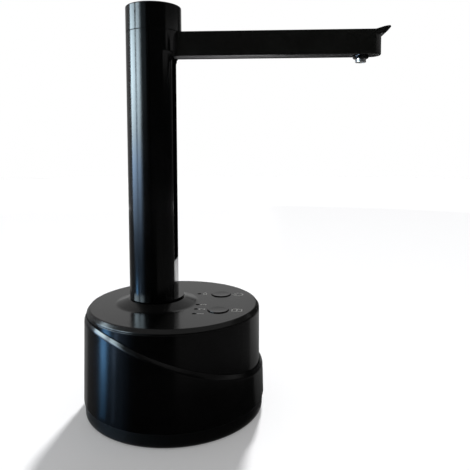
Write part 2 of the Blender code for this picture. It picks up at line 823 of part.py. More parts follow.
def make_top_panel():
    rib_r = HOUSING_INNER_R - GAP
    profile = [
        (0, PANEL_TOP_Z),
        (PANEL_DISC_R, PANEL_TOP_Z),
        (HOUSING_R, PANEL_UNDER_Z + PANEL_EDGE_LAND),
        (HOUSING_R, PANEL_UNDER_Z),
        (rib_r, PANEL_UNDER_Z),
        (rib_r, PANEL_UNDER_Z - PANEL_RIB_DEPTH),
        (rib_r - PANEL_RIB_WALL, PANEL_UNDER_Z - PANEL_RIB_DEPTH),
        (rib_r - PANEL_RIB_WALL, PANEL_UNDER_Z),
        (0, PANEL_UNDER_Z),
    ]
    panel = turned("top_panel", profile, sides=SIDES_BASE)
    cone_foot_z = PANEL_UNDER_Z + PANEL_EDGE_LAND
    slope = (CONE_R - CONE_TOP_R) / CONE_HEIGHT
    join(
        panel,
        rod(
            "panel_cone",
            CONE_R + slope * (PANEL_TOP_Z - cone_foot_z),
            (COLUMN_X, 0, cone_foot_z),
            SEAT_Z - cone_foot_z,
            sides=SIDES_COLUMN,
            end_radius=CONE_TOP_R,
        ),
        rods(
            "board_posts",
            BOARD_POST_R,
            board_screw_places(),
            BOARD_TOP_Z + GAP,
            PANEL_TOP_Z - BOARD_TOP_Z - OVERRUN,
        ),
    )
    hole_foot_z = PANEL_UNDER_Z - OVERRUN
    hole_height = SEAT_Z + OVERRUN - hole_foot_z
    cut(
        panel,
        rods("hose_hole", HOSE_HOLE_R, [(COLUMN_X + RISER_X, 0)], hole_foot_z, hole_height),
        rods("column_holes", COLUMN_SCREW_HOLE_R, column_screw_places(), hole_foot_z, hole_height),
        rods(
            "button_holes",
            BUTTON_R + GAP,
            list(BUTTON_PLACES.values()),
            hole_foot_z,
            hole_height,
            SIDES_MEDIUM,
        ),
        rods("light_holes", LIGHT_R + GAP, LIGHT_PLACES, hole_foot_z, hole_height),
        rods(
            "board_pilots",
            BOARD_SCREW_R + GAP,
            board_screw_places(),
            BOARD_TOP_Z - OVERRUN,
            BOARD_SCREW_LENGTH,
        ),
    )
    finish(panel, GLOSS_BLACK)
    for number, (x, y) in enumerate(column_screw_places(), 1):
        screw(
            f"column_screw_{number}",
            (x, y, PANEL_UNDER_Z - GAP - COLUMN_SCREW_HEAD_THICK),
            COLUMN_SCREW_R,
            COLUMN_SCREW_HEAD_R,
            COLUMN_SCREW_HEAD_THICK,
            COLUMN_SCREW_LENGTH,
        )


def make_buttons():
    for name, (x, y) in BUTTON_PLACES.items():
        rise = BUTTON_CAP_THICK - BUTTON_EDGE
        flange_top = PANEL_UNDER_Z - GAP - BUTTON_FOOT_Z
        flange_foot = flange_top - BUTTON_FLANGE_THICK
        stem_foot = PLUNGER_TOP_Z + GAP - BUTTON_FOOT_Z
        profile = [
            (0, BUTTON_CAP_THICK),
            (BUTTON_R - BUTTON_EDGE, BUTTON_CAP_THICK),
            (BUTTON_R, rise),
            (BUTTON_R, flange_top),
            (BUTTON_FLANGE_R, flange_top),
            (BUTTON_FLANGE_R, flange_foot),
            (BUTTON_STEM_R, flange_foot),
            (BUTTON_STEM_R, stem_foot),
            (0, stem_foot),
        ]
        cap = turned(f"{name}_button", profile, (x, y, BUTTON_FOOT_Z), sides=SIDES_MEDIUM)
        finish(cap, GLOSS_BLACK)
        plunger_foot_z = SWITCH_TOP_Z - SWITCH_BORE_DEPTH + BUTTON_TRAVEL + GAP
        plunger = rod(
            f"{name}_switch_plunger",
            PLUNGER_R,
            (x, y, plunger_foot_z),
            PLUNGER_TOP_Z - plunger_foot_z,
        )
        finish(plunger, WHITE_PLASTIC)
        half = SWITCH_SIDE / 2
        switch = box(
            f"{name}_switch",
            (x - half, y - half, BOARD_TOP_Z + GAP),
            (x + half, y + half, SWITCH_TOP_Z),
        )
        cut(
            switch,
            rods(
                f"{name}_switch_bore",
                PLUNGER_R + GAP,
                [(x, y)],
                SWITCH_TOP_Z - SWITCH_BORE_DEPTH,
                SWITCH_BORE_DEPTH + OVERRUN,
            ),
        )
        finish(switch, SATIN_BLACK)


def make_board():
    angle = math.acos(BOARD_CHORD_X / BOARD_R)
    arc = [
        angle * (2 * step / (BOARD_ARC_POINTS - 1) - 1) for step in range(BOARD_ARC_POINTS)
    ]
    loop = [(BOARD_R * math.cos(a), BOARD_R * math.sin(a)) for a in arc]
    middle_z = BOARD_TOP_Z - BOARD_THICK / 2
    board = to_mesh(outline("control_board", [loop], BOARD_THICK, (0, 0, middle_z)))
    half = LED_SIDE / 2
    for number, (x, y) in enumerate(LIGHT_PLACES, 1):
        led = box(
            f"led_{number}",
            (x - half, y - half, middle_z),
            (x + half, y + half, BOARD_TOP_Z + LED_HEIGHT),
        )
        join(board, led)
    cut(
        board,
        rods(
            "board_holes",
            BOARD_SCREW_R + GAP,
            board_screw_places(),
            middle_z - BOARD_THICK,
            BOARD_THICK * 2,
        ),
    )
    finish(board, BOARD_GREEN)
    for number, (x, y) in enumerate(board_screw_places(), 1):
        screw(
            f"board_screw_{number}",
            (x, y, BOARD_TOP_Z - BOARD_THICK - GAP - BOARD_SCREW_HEAD_THICK),
            BOARD_SCREW_R,
            BOARD_SCREW_HEAD_R,
            BOARD_SCREW_HEAD_THICK,
            BOARD_SCREW_LENGTH,
        )
    for number, (x, y) in enumerate(LIGHT_PLACES, 1):
        foot_z = BOARD_TOP_Z + LED_HEIGHT + GAP
        guide = rod(f"light_guide_{number}", LIGHT_R, (x, y, foot_z), PANEL_TOP_Z - LIGHT_SINK - foot_z)
        finish(guide, SMOKE)


def make_cell():
    end_y = CELL_LENGTH / 2
    profile = [
        (0, CELL_LENGTH),
        (CELL_NUB_R, CELL_LENGTH),
        (CELL_NUB_R, CELL_LENGTH - CELL_NUB),
        (CELL_R - CELL_EDGE, CELL_LENGTH - CELL_NUB),
        (CELL_R, CELL_LENGTH - CELL_NUB - CELL_EDGE),
        (CELL_R, CELL_EDGE),
        (CELL_R - CELL_EDGE, 0),
        (0, 0),
    ]
    place = (CELL_X, -end_y, CELL_Z)
    finish(turned("battery_cell", profile, place, axis="Y", sides=SIDES_MEDIUM), CELL_BLUE)
    foot_z = FLOOR_Z + GAP
    cradle = box(
        "battery_cradle",
        (CELL_X - CRADLE_HALF_WIDTH, -CRADLE_HALF_LENGTH, foot_z),
        (CELL_X + CRADLE_HALF_WIDTH, CRADLE_HALF_LENGTH, foot_z + CRADLE_HEIGHT),
    )
    start = (CELL_X, -end_y - GAP, CELL_Z)
    hollow = rod("cell_space", CELL_R + GAP, start, CELL_LENGTH + 2 * GAP, "Y", SIDES_MEDIUM)
    cut(cradle, hollow)
    finish(cradle, WHITE_PLASTIC)


def charger_z():
    """Middle plane of the charging board, under the socket."""
    return RECESS_Z - SOCKET_HEIGHT / 2 - GAP - CHARGER_THICK / 2


def make_back_recess():
    recess = box(
        "port_recess",
        (RECESS_MOUTH_X, -RECESS_HALF_WIDTH, RECESS_Z - RECESS_HALF_HEIGHT),
        (RECESS_BACK_X, RECESS_HALF_WIDTH, RECESS_Z + RECESS_HALF_HEIGHT),
    )
    inner_width = RECESS_HALF_WIDTH - RECESS_WALL
    inner_height = RECESS_HALF_HEIGHT - RECESS_WALL
    socket_half = SOCKET_WIDTH / 2 + GAP
    socket_half_height = SOCKET_HEIGHT / 2 + GAP
    cut(
        recess,
        box(
            "recess_space",
            (RECESS_MOUTH_X - OVERRUN, -inner_width, RECESS_Z - inner_height),
            (RECESS_BACK_X - RECESS_WALL, inner_width, RECESS_Z + inner_height),
        ),
        box(
            "socket_hole",
            (RECESS_BACK_X - OVERRUN, SOCKET_Y - socket_half, RECESS_Z - socket_half_height),
            (RECESS_BACK_X + OVERRUN, SOCKET_Y + socket_half, RECESS_Z + socket_half_height),
        ),
        rod(
            "inlet_hole",
            INLET_CORE_R + GAP,
            (RECESS_BACK_X - OVERRUN, INLET_Y, RECESS_Z),
            2 * OVERRUN,
            "X",
        ),
    )
    finish(recess, SATIN_BLACK)
    socket_x = RECESS_BACK_X - RECESS_WALL - SOCKET_PROUD
    half = SOCKET_WIDTH / 2
    half_height = SOCKET_HEIGHT / 2
    socket = box(
        "charging_socket",
        (socket_x, SOCKET_Y - half, RECESS_Z - half_height),
        (socket_x + SOCKET_DEPTH, SOCKET_Y + half, RECESS_Z + half_height),
    )
    cut(
        socket,
        box(
            "socket_mouth",
            (socket_x - OVERRUN, SOCKET_Y - half + SOCKET_METAL, RECESS_Z - half_height + SOCKET_METAL),
            (
                socket_x + SOCKET_DEPTH - SOCKET_METAL * 2,
                SOCKET_Y + half - SOCKET_METAL,
                RECESS_Z + half_height - SOCKET_METAL,
            ),
        ),
    )
    finish(socket, STEEL)
    board_x = RECESS_BACK_X + GAP
    charger = box(
        "charging_board",
        (board_x, SOCKET_Y - CHARGER_WIDTH / 2, charger_z() - CHARGER_THICK / 2),
        (board_x + CHARGER_LENGTH, SOCKET_Y + CHARGER_WIDTH / 2, charger_z() + CHARGER_THICK / 2),
    )
    finish(charger, BOARD_GREEN)


def make_inlet():
    """Hose barb in the back recess, with its tail inside the base."""
    wall_outer = RECESS_BACK_X - RECESS_WALL
    barb_start = -INLET_BARB_LENGTH * INLET_BARB_COUNT - INLET_FLANGE_THICK - GAP
    tail_end = RECESS_WALL + INLET_TAIL_LENGTH
    profile = [(INLET_BORE_R, tail_end), (INLET_TAIL_R, tail_end), (INLET_TAIL_R, RECESS_WALL + GAP)]
    profile += [(INLET_CORE_R, RECESS_WALL + GAP), (INLET_CORE_R, -GAP), (INLET_FLANGE_R, -GAP)]
    profile += [(INLET_FLANGE_R, -GAP - INLET_FLANGE_THICK)]
    for number in range(INLET_BARB_COUNT):
        top = -GAP - INLET_FLANGE_THICK - number * INLET_BARB_LENGTH
        profile += [(INLET_CORE_R, top), (INLET_BARB_R, top - INLET_BARB_LENGTH / 3)]
    profile += [(INLET_CORE_R, barb_start), (INLET_BORE_R, barb_start)]
    place = (wall_outer, INLET_Y, RECESS_Z)
    fitting = turned("inlet_fitting", profile, place, axis="X", closed=True)
    finish(fitting, SATIN_BLACK)
    start = Vector((wall_outer + RECESS_WALL + GAP * 2, INLET_Y, RECESS_Z))
    end = Vector((MOTOR_X - PUMP_HALF_WIDTH - GAP, GEAR_MIDDLE_Y, GEAR_MESH_Z))
    span = end - start
    places = [Vector((a * span.x, b * span.y, c * span.z)) for a, b, c in INLET_ROUTE_SHARES]
    route = smooth_route([start] + [start + place for place in places] + [end], 3)
    finish(hose("inlet_hose", route, HOSE_R, HOSE_BORE_R), SILICONE)


def involute(angle):
    return math.tan(angle) - angle


def tooth_half_angle(radius):
    """Half the angle that one tooth covers at a radius."""
    base_r = GEAR_PITCH_R * math.cos(PRESSURE_ANGLE)
    at = math.acos(min(base_r / radius, 1))
    return GEAR_TOOTH_THICK / (2 * GEAR_PITCH_R) + involute(PRESSURE_ANGLE) - involute(at)


def gear_loop(first_angle):
    flank = [GEAR_ROOT_R, GEAR_PITCH_R * math.cos(PRESSURE_ANGLE), GEAR_PITCH_R, GEAR_TIP_R]
    loop = []
    for tooth in range(GEAR_TEETH):
        middle = first_angle + math.tau * tooth / GEAR_TEETH
        for radius in flank:
            angle = middle - tooth_half_angle(radius)
            loop.append((radius * math.cos(angle), radius * math.sin(angle)))
        for radius in reversed(flank):
            angle = middle + tooth_half_angle(radius)
            loop.append((radius * math.cos(angle), radius * math.sin(angle)))
    return loop


def make_gear(name, center_z, bore_radius, first_angle):
    bore = ring_places(SIDES_SMALL, bore_radius)
    loops = [gear_loop(first_angle), bore]
    middle = (MOTOR_X, GEAR_MIDDLE_Y, center_z)
    gear = to_mesh(outline(name, loops, GEAR_WIDTH, middle, upright=True))
    finish(gear, WHITE_PLASTIC)


def make_pump():
    chamber_r = GEAR_TIP_R + GEAR_TIP_CLEARANCE
    low_z = IDLER_Z - chamber_r - PUMP_SIDE_WALL
    high_z = MOTOR_Z + MOTOR_R + PUMP_COLLAR_WALL
    body = box(
        "pump_body",
        (MOTOR_X - PUMP_HALF_WIDTH, PUMP_BACK_Y, low_z),
        (MOTOR_X + PUMP_HALF_WIDTH, PUMP_FRONT_Y, high_z),
    )
    collar_r = MOTOR_R + GAP + PUMP_COLLAR_WALL
    collar_start = (MOTOR_X, PUMP_BACK_Y - PUMP_COLLAR_DEPTH, MOTOR_Z)
    join(body, rod("collar", collar_r, collar_start, PUMP_COLLAR_DEPTH + GAP, "Y", SIDES_MEDIUM))
    collar_cut_start = (MOTOR_X, PUMP_BACK_Y - PUMP_COLLAR_DEPTH - OVERRUN, MOTOR_Z)
    collar_cut = PUMP_COLLAR_DEPTH + OVERRUN
    chamber_length = GEAR_WIDTH + 2 * GAP + OVERRUN
    chamber_y = GEAR_START_Y - GAP
    port_reach = PUMP_HALF_WIDTH + PUMP_BARB_LENGTH
    port_start = (MOTOR_X - port_reach, GEAR_MIDDLE_Y, GEAR_MESH_Z)
    cut(
        body,
        rod("collar_space", MOTOR_R + GAP, collar_cut_start, collar_cut, "Y", SIDES_MEDIUM),
        rod("drive_chamber", chamber_r, (MOTOR_X, chamber_y, MOTOR_Z), chamber_length, "Y", SIDES_MEDIUM),
        rod("idler_chamber", chamber_r, (MOTOR_X, chamber_y, IDLER_Z), chamber_length, "Y", SIDES_MEDIUM),
        rod("shaft_hole", SHAFT_BORE_R, (MOTOR_X, PUMP_BACK_Y - OVERRUN, MOTOR_Z), GEAR_WIDTH, "Y"),
    )
    pin_start_y = PUMP_BACK_Y + PUMP_BACK_THICK / 2
    pin_length = GEAR_START_Y + GEAR_WIDTH - GAP - pin_start_y
    join(
        body,
        rod("idler_pin", IDLER_PIN_R, (MOTOR_X, pin_start_y, IDLER_Z), pin_length, "Y"),
        rod(
            "inlet_port",
            SWIVEL_R,
            port_start,
            PUMP_BARB_LENGTH + OVERRUN,
            "X",
        ),
        rod(
            "outlet_port",
            SWIVEL_R,
            (MOTOR_X + PUMP_HALF_WIDTH - OVERRUN, GEAR_MIDDLE_Y, GEAR_MESH_Z),
            PUMP_BARB_LENGTH + OVERRUN,
            "X",
        ),
    )
    passage = PUMP_HALF_WIDTH + PUMP_BARB_LENGTH + OVERRUN - GEAR_ROOT_R
    cut(
        body,
        rod(
            "inlet_passage",
            SWIVEL_BORE_R,
            (MOTOR_X - port_reach - OVERRUN, GEAR_MIDDLE_Y, GEAR_MESH_Z),
            passage,
            "X",
        ),
        rod(
            "outlet_passage",
            SWIVEL_BORE_R,
            (MOTOR_X + GEAR_ROOT_R, GEAR_MIDDLE_Y, GEAR_MESH_Z),
            passage,
            "X",
        ),
    )
    finish(body, SATIN_BLACK)
    cover = box(
        "pump_cover",
        (MOTOR_X - PUMP_HALF_WIDTH, PUMP_FRONT_Y + GAP, low_z),
        (MOTOR_X + PUMP_HALF_WIDTH, PUMP_FRONT_Y + GAP + PUMP_COVER_THICK, high_z),
    )
    soften(cover, GAP)
    finish(cover, WHITE_PLASTIC)
    make_gear("drive_gear", MOTOR_Z, SHAFT_BORE_R, -math.pi / 2)
    make_gear("idler_gear", IDLER_Z, IDLER_BORE_R, math.pi / 2 + math.pi / GEAR_TEETH)


def make_motor():
    back_y = MOTOR_FRONT_Y - MOTOR_LENGTH
    inner_r = MOTOR_R - MOTOR_WALL
    profile = [
        (SHAFT_BORE_R, MOTOR_LENGTH),
        (MOTOR_R, MOTOR_LENGTH),
        (MOTOR_R, 0),
        (inner_r, 0),
        (inner_r, MOTOR_LENGTH - MOTOR_WALL),
        (SHAFT_BORE_R, MOTOR_LENGTH - MOTOR_WALL),
    ]
    place = (MOTOR_X, back_y, MOTOR_Z)
    can = turned("motor_can", profile, place, axis="Y", sides=SIDES_MEDIUM, closed=True)
    finish(can, STEEL)
    cap_profile = [
        (SHAFT_BORE_R, -GAP),
        (MOTOR_R, -GAP),
        (MOTOR_R, -MOTOR_CAP_THICK),
        (SHAFT_BORE_R, -MOTOR_CAP_THICK),
    ]
    cap = turned("motor_end_cap", cap_profile, place, axis="Y", sides=SIDES_MEDIUM, closed=True)
    finish(cap, SATIN_BLACK)
    shaft_end = GEAR_START_Y + GEAR_WIDTH - GAP - back_y
    shaft_start = -MOTOR_CAP_THICK - SHAFT_TAIL
    armature_end = ARMATURE_START_Y - back_y
    armature_start = armature_end - ARMATURE_LENGTH
    rotor_profile = [
        (0, shaft_end),
        (SHAFT_R, shaft_end),
        (SHAFT_R, armature_end),
        (ARMATURE_R, armature_end),
        (ARMATURE_R, armature_start),
        (COMMUTATOR_R, armature_start),
        (COMMUTATOR_R, armature_start - COMMUTATOR_LENGTH),
        (SHAFT_R, armature_start - COMMUTATOR_LENGTH),
        (SHAFT_R, shaft_start),
        (0, shaft_start),
    ]
    finish(turned("motor_rotor", rotor_profile, place, axis="Y"), BRASS)
    saddle = box(
        "motor_saddle",
        (MOTOR_X - SADDLE_HALF_WIDTH, SADDLE_BACK_Y, FLOOR_Z + GAP),
        (MOTOR_X + SADDLE_HALF_WIDTH, SADDLE_FRONT_Y, MOTOR_Z - MOTOR_R / 3),
    )
    space_length = SADDLE_FRONT_Y - SADDLE_BACK_Y + 2 * OVERRUN
    space_start = (MOTOR_X, SADDLE_BACK_Y - OVERRUN, MOTOR_Z)
    cut(saddle, rod("motor_space", MOTOR_R + GAP, space_start, space_length, "Y", SIDES_MEDIUM))
    finish(saddle, WHITE_PLASTIC)
    middle_y = (SADDLE_FRONT_Y + SADDLE_BACK_Y) / 2
    strap_foot_z = MOTOR_Z - MOTOR_R / 3 + GAP
    strap_start = (MOTOR_X, middle_y - STRAP_WIDTH / 2, MOTOR_Z)
    strap_r = MOTOR_R + GAP + STRAP_WALL
    strap = rod("motor_strap", strap_r, strap_start, STRAP_WIDTH, "Y", SIDES_MEDIUM)
    strap_space = rod(
        "strap_space",
        MOTOR_R + GAP,
        (MOTOR_X, middle_y - STRAP_WIDTH, MOTOR_Z),
        STRAP_WIDTH * 2,
        "Y",
        SIDES_MEDIUM,
    )
    below = box(
        "strap_below",
        (MOTOR_X - MOTOR_R * 2, middle_y - STRAP_WIDTH, 0),
        (MOTOR_X + MOTOR_R * 2, middle_y + STRAP_WIDTH, strap_foot_z),
    )
    cut(strap, strap_space, below)
    finish(strap, STEEL)


def lead(name, start, end, material):
    start = Vector(start)
    end = Vector(end)
    span = end - start
    middle = [
        start + Vector((a * span.x, b * span.y, c * span.z)) for a, b, c in LEAD_ROUTE_SHARES
    ]
    finish(tube(name, smooth_route([start] + middle + [end], 2), LEAD_R), material)


def make_leads():
    board_under_z = BOARD_TOP_Z - BOARD_THICK - LEAD_END_GAP
    cell_end_y = CELL_LENGTH / 2 + GAP + LEAD_R
    lead_z = FLOOR_Z + GAP + CRADLE_HEIGHT + LEAD_END_GAP
    end_x = CELL_X - CELL_R
    lead("battery_lead_red", (CELL_X, cell_end_y, lead_z), (end_x, BUTTON_Y, board_under_z), LEAD_RED)
    lead("battery_lead_black", (CELL_X, -cell_end_y, lead_z), (end_x, -BUTTON_Y, board_under_z), LEAD_BLACK)
    motor_y = MOTOR_FRONT_Y - MOTOR_LENGTH - MOTOR_CAP_THICK - GAP - LEAD_R
    side_x = MOTOR_R / 2
    top_z = MOTOR_Z + MOTOR_R / 3
    board_x = BOARD_CHORD_X + LEAD_R * 3
    red_end = (board_x + LEAD_R * 8, motor_y - LEAD_R, board_under_z)
    black_end = (board_x, motor_y + LEAD_R * 3, board_under_z)
    lead("motor_lead_red", (MOTOR_X + side_x, motor_y, top_z), red_end, LEAD_RED)
    lead("motor_lead_black", (MOTOR_X - side_x, motor_y, top_z), black_end, LEAD_BLACK)


def column_box(name, low, high):
    """Box given from the column's axis in X and Y, and in real height."""
    return box(name, low, high, place=(COLUMN_X, 0, 0))


def column_rod(name, radius, start, length, axis="Z", sides=SIDES_SMALL):
    return rod(name, radius, Vector(start) + Vector((COLUMN_X, 0, 0)), length, axis, sides)


def column_blank(name):
    """Full round of the column with its eased foot, before it is split and hollowed."""
    profile = [
        (0, COLUMN_TOP_Z),
        (COLUMN_R, COLUMN_TOP_Z),
        (COLUMN_R, COLUMN_FOOT_Z + FOOT_EDGE),
        (COLUMN_R - FOOT_EDGE, COLUMN_FOOT_Z),
        (0, COLUMN_FOOT_Z),
    ]
    return turned(name, profile, (COLUMN_X, 0, 0), sides=SIDES_COLUMN)


def column_void(name):
    """Hollow of the column, closed by a front wall behind the flat."""
    floor_z = COLUMN_FOOT_Z + FOOT_SOLID
    length = COLUMN_TOP_Z + OVERRUN - floor_z
    void = column_rod(name, COLUMN_INNER_R, (0, 0, floor_z), length, sides=SIDES_COLUMN)
    front_x = COLUMN_FLAT_X - COLUMN_FRONT_WALL
    cut(
        void,
        column_box(
            name + "_front",
            (front_x, -COLUMN_R, 0),
            (COLUMN_R * 2, COLUMN_R, CAP_TOP_Z),
        ),
    )
    return void


def nozzle_pocket(name, grow):
    """Space behind the channel for the folded arm's nozzle, grown by a wall on each side."""
    half = NOZZLE_COLLAR_R + NOZZLE_POCKET_GAP + grow
    middle_z = HINGE.z - NOZZLE_X
    back_x = HINGE_X - ARM_HALF - NOZZLE_DROP - NOZZLE_POCKET_GAP / 2 - grow
    return column_box(name, (back_x, -half, middle_z - half), (COLUMN_SPLIT_X * 2, half, middle_z + half))


def flat_front_cutter():
    """Takes the front of the column off down to its flat, with a steep slope at the top."""
    foot_z = COLUMN_FOOT_Z + FOOT_FLANGE
    depth = COLUMN_R - COLUMN_FLAT_X
    rise = depth * FLAT_SLOPE
    far_x = COLUMN_R + depth
    loop = [
        (COLUMN_FLAT_X, foot_z),
        (far_x, foot_z),
        (far_x, FLAT_TOP_Z + rise),
        (COLUMN_FLAT_X, FLAT_TOP_Z - rise),
    ]
    return to_mesh(outline("flat_front", [loop], COLUMN_R * 3, (COLUMN_X, 0, 0), upright=True))


def make_front_shell():
    front = column_blank("column_front_shell")
    half_gap = GAP / 2
    cut(
        front,
        column_box(
            "behind_split",
            (-COLUMN_R * 2, -COLUMN_R * 2, 0),
            (COLUMN_SPLIT_X + half_gap, COLUMN_R * 2, CAP_TOP_Z),
        ),
        column_void("front_void"),
    )
    trough_back_x = CHANNEL_FLOOR_X - CHANNEL_FLOOR
    trough_front_x = COLUMN_FLAT_X - COLUMN_FRONT_WALL / 2
    trough_foot_z = CHANNEL_BOTTOM_Z - CHANNEL_END_WALL
    boss_start = (FRONT_SCREW_X, 0, COLUMN_FOOT_Z + FOOT_SOLID / 2)
    pin_boss_start = (HINGE_X, -PIN_BOSS_END_Y, HINGE.z)
    pin_boss_length = PIN_BOSS_END_Y - CHANNEL_OUTER + half_gap
    join(
        front,
        column_box(
            "trough",
            (trough_back_x, -CHANNEL_OUTER, trough_foot_z),
            (trough_front_x, CHANNEL_OUTER, COLUMN_TOP_Z - GAP),
        ),
        nozzle_pocket("pocket_wall", CHANNEL_WALL),
        column_rod("front_boss", COLUMN_BOSS_R, boss_start, COLUMN_BOSS_HEIGHT),
        column_rod("pin_boss", PIN_BOSS_R, pin_boss_start, pin_boss_length, "Y"),
    )
    pilot_length = COLUMN_SCREW_LENGTH - COLUMN_SCREW_HEAD_THICK
    spigot_start = (HINGE_X, CHANNEL_HALF - OVERRUN, HINGE.z)
    pin_start = (HINGE_X, -PIN_END_Y - GAP, HINGE.z)
    cut(
        front,
        column_box(
            "channel",
            (CHANNEL_FLOOR_X, -CHANNEL_HALF, CHANNEL_BOTTOM_Z),
            (COLUMN_R * 2, CHANNEL_HALF, CAP_TOP_Z),
        ),
        nozzle_pocket("pocket_space", 0),
        flat_front_cutter(),
        column_rod("front_pilot", COLUMN_SCREW_HOLE_R, (FRONT_SCREW_X, 0, SEAT_Z), pilot_length),
        column_rod("spigot_hole", SWIVEL_R + SWIVEL_CLEARANCE, spigot_start, CHANNEL_WALL + 2 * OVERRUN, "Y"),
        column_rod("pin_hole", PIN_R + GAP, pin_start, PIN_END_Y, "Y"),
    )
    finish(front, GLOSS_BLACK)


def make_rear_shell():
    rear = column_blank("column_rear_shell")
    half_gap = GAP / 2
    cut(
        rear,
        column_box(
            "before_split",
            (COLUMN_SPLIT_X - half_gap, -COLUMN_R * 2, 0),
            (COLUMN_R * 2, COLUMN_R * 2, CAP_TOP_Z),
        ),
        column_void("rear_void"),
    )
    boss_z = COLUMN_FOOT_Z + FOOT_SOLID / 2
    pilot_length = COLUMN_SCREW_LENGTH - COLUMN_SCREW_HEAD_THICK
    for side in (1, -1):
        side_y = side * REAR_SCREW_Y
        boss = column_rod(f"rear_boss_{side}", COLUMN_BOSS_R, (REAR_SCREW_X, side_y, boss_z), COLUMN_BOSS_HEIGHT)
        join(rear, boss)
        pilot = column_rod(f"rear_pilot_{side}", COLUMN_SCREW_HOLE_R, (REAR_SCREW_X, side_y, SEAT_Z), pilot_length)
        cut(rear, pilot)
    cut(
        rear,
        column_rod("riser_hole", HOSE_HOLE_R, (RISER_X, 0, SEAT_Z), COLUMN_BOSS_HEIGHT),
    )
    finish(rear, GLOSS_BLACK)


def make_cap():
    plug_r = COLUMN_INNER_R - GAP
    inner_r = COLUMN_R - CAP_WALL
    roof_z = CAP_TOP_Z - CAP_TOP_THICK
    profile = [
        (0, CAP_TOP_Z),
        (COLUMN_R - CAP_EDGE, CAP_TOP_Z),
        (COLUMN_R, CAP_TOP_Z - CAP_EDGE),
        (COLUMN_R, CAP_FOOT_Z),
        (inner_r, CAP_FOOT_Z),
        (inner_r, roof_z),
        (0, roof_z),
    ]
    cap = turned("column_cap", profile, (COLUMN_X, 0, 0), sides=SIDES_COLUMN)
    plug_foot_z = CAP_FOOT_Z - CAP_PLUG_DEPTH
    plug_top_z = CAP_FOOT_Z + CAP_PLUG_DEPTH
    plug_inner_r = plug_r - CAP_PLUG_WALL
    plug_profile = [
        (inner_r + GAP, plug_top_z),
        (inner_r + GAP, CAP_FOOT_Z + GAP),
        (plug_r, CAP_FOOT_Z + GAP),
        (plug_r, plug_foot_z),
        (plug_inner_r, plug_foot_z),
        (plug_inner_r, plug_top_z),
    ]
    plug = turned("cap_plug", plug_profile, (COLUMN_X, 0, 0), sides=SIDES_COLUMN, closed=True)
    cut(
        plug,
        column_box(
            "plug_front",
            (CAP_PLUG_FRONT_X, -COLUMN_R, 0),
            (COLUMN_R, COLUMN_R, CAP_TOP_Z),
        ),
    )
    join(cap, plug)
    finish(cap, GLOSS_BLACK)


def make_riser():
    start = Vector((MOTOR_X + PUMP_HALF_WIDTH + GAP, GEAR_MIDDLE_Y, GEAR_MESH_Z))
    end = Vector((COLUMN_X + RISER_X, 0, HINGE.z - RISER_OVERLAP * 1.4))
    span = end - start
    places = [Vector((a * span.x, b * span.y, c * span.z)) for a, b, c in RISER_ROUTE_SHARES]
    route = smooth_route([start] + [start + place for place in places], 3)
    foot = route[-1]
    straight = [foot + (end - foot) * step / 6 for step in range(1, 7)]
    finish(hose("riser_hose", route + straight, HOSE_R, HOSE_BORE_R), SILICONE)


def make_elbow():
    """Rigid water pipe from the riser, round the channel's side, into the hinge from the far side."""
    side = SWIVEL_SIDE_Y
    bend = SWIVEL_R * 1.3
    low_z = -RISER_OVERLAP * 2.4
    turn_z = -RISER_OVERLAP * 1.2
    points = [
        (RISER_X, 0, low_z),
        (RISER_X, 0, turn_z),
        (RISER_X + bend / 8, side / 8, turn_z * 0.66),
        (RISER_X * 0.86, side * 0.38, turn_z * 0.26),
        (RISER_X * 0.60, side * 0.74, turn_z * 0.04),
        (RISER_X * 0.26, side * 0.96, 0),
        (0, side, 0),
        (HINGE_X - bend, side, 0),
        (HINGE_X - bend * 0.29, side - bend * 0.29, 0),
        (HINGE_X, side - bend, 0),
        (HINGE_X, ARM_WIDTH / 2 - SWIVEL_DEPTH - ARM_WALL, 0),
    ]
    origin = Vector((COLUMN_X, 0, HINGE.z))
    route = [origin + Vector(point) for point in points]
    finish(hose("swivel_elbow", route, SWIVEL_R, SWIVEL_BORE_R), SATIN_BLACK)


def make_hinge_fixed():
    pin_inner_y = ARM_WIDTH / 2 - PIN_DEPTH - ARM_WALL
    start = (HINGE_X, -PIN_END_Y, HINGE.z)
    pin = column_rod("hinge_pin", PIN_R, start, PIN_END_Y - pin_inner_y, "Y")
    finish(pin, STEEL)
    spare = (CHANNEL_SIDE_GAP - WASHER_THICK) / 2
    for name, side, bore_r in (
        ("hinge_washer_near", -1, PIN_R + GAP),
        ("hinge_washer_far", 1, SWIVEL_R + GAP),
    ):
        profile = [(bore_r, WASHER_THICK), (WASHER_R, WASHER_THICK), (WASHER_R, 0), (bore_r, 0)]
        inner_y = ARM_WIDTH / 2 + spare
        foot_y = inner_y if side > 0 else -inner_y - WASHER_THICK
        place = (COLUMN_X + HINGE_X, foot_y, HINGE.z)
        washer = turned(name, profile, place, axis="Y", closed=True)
        finish(washer, RUBBER)


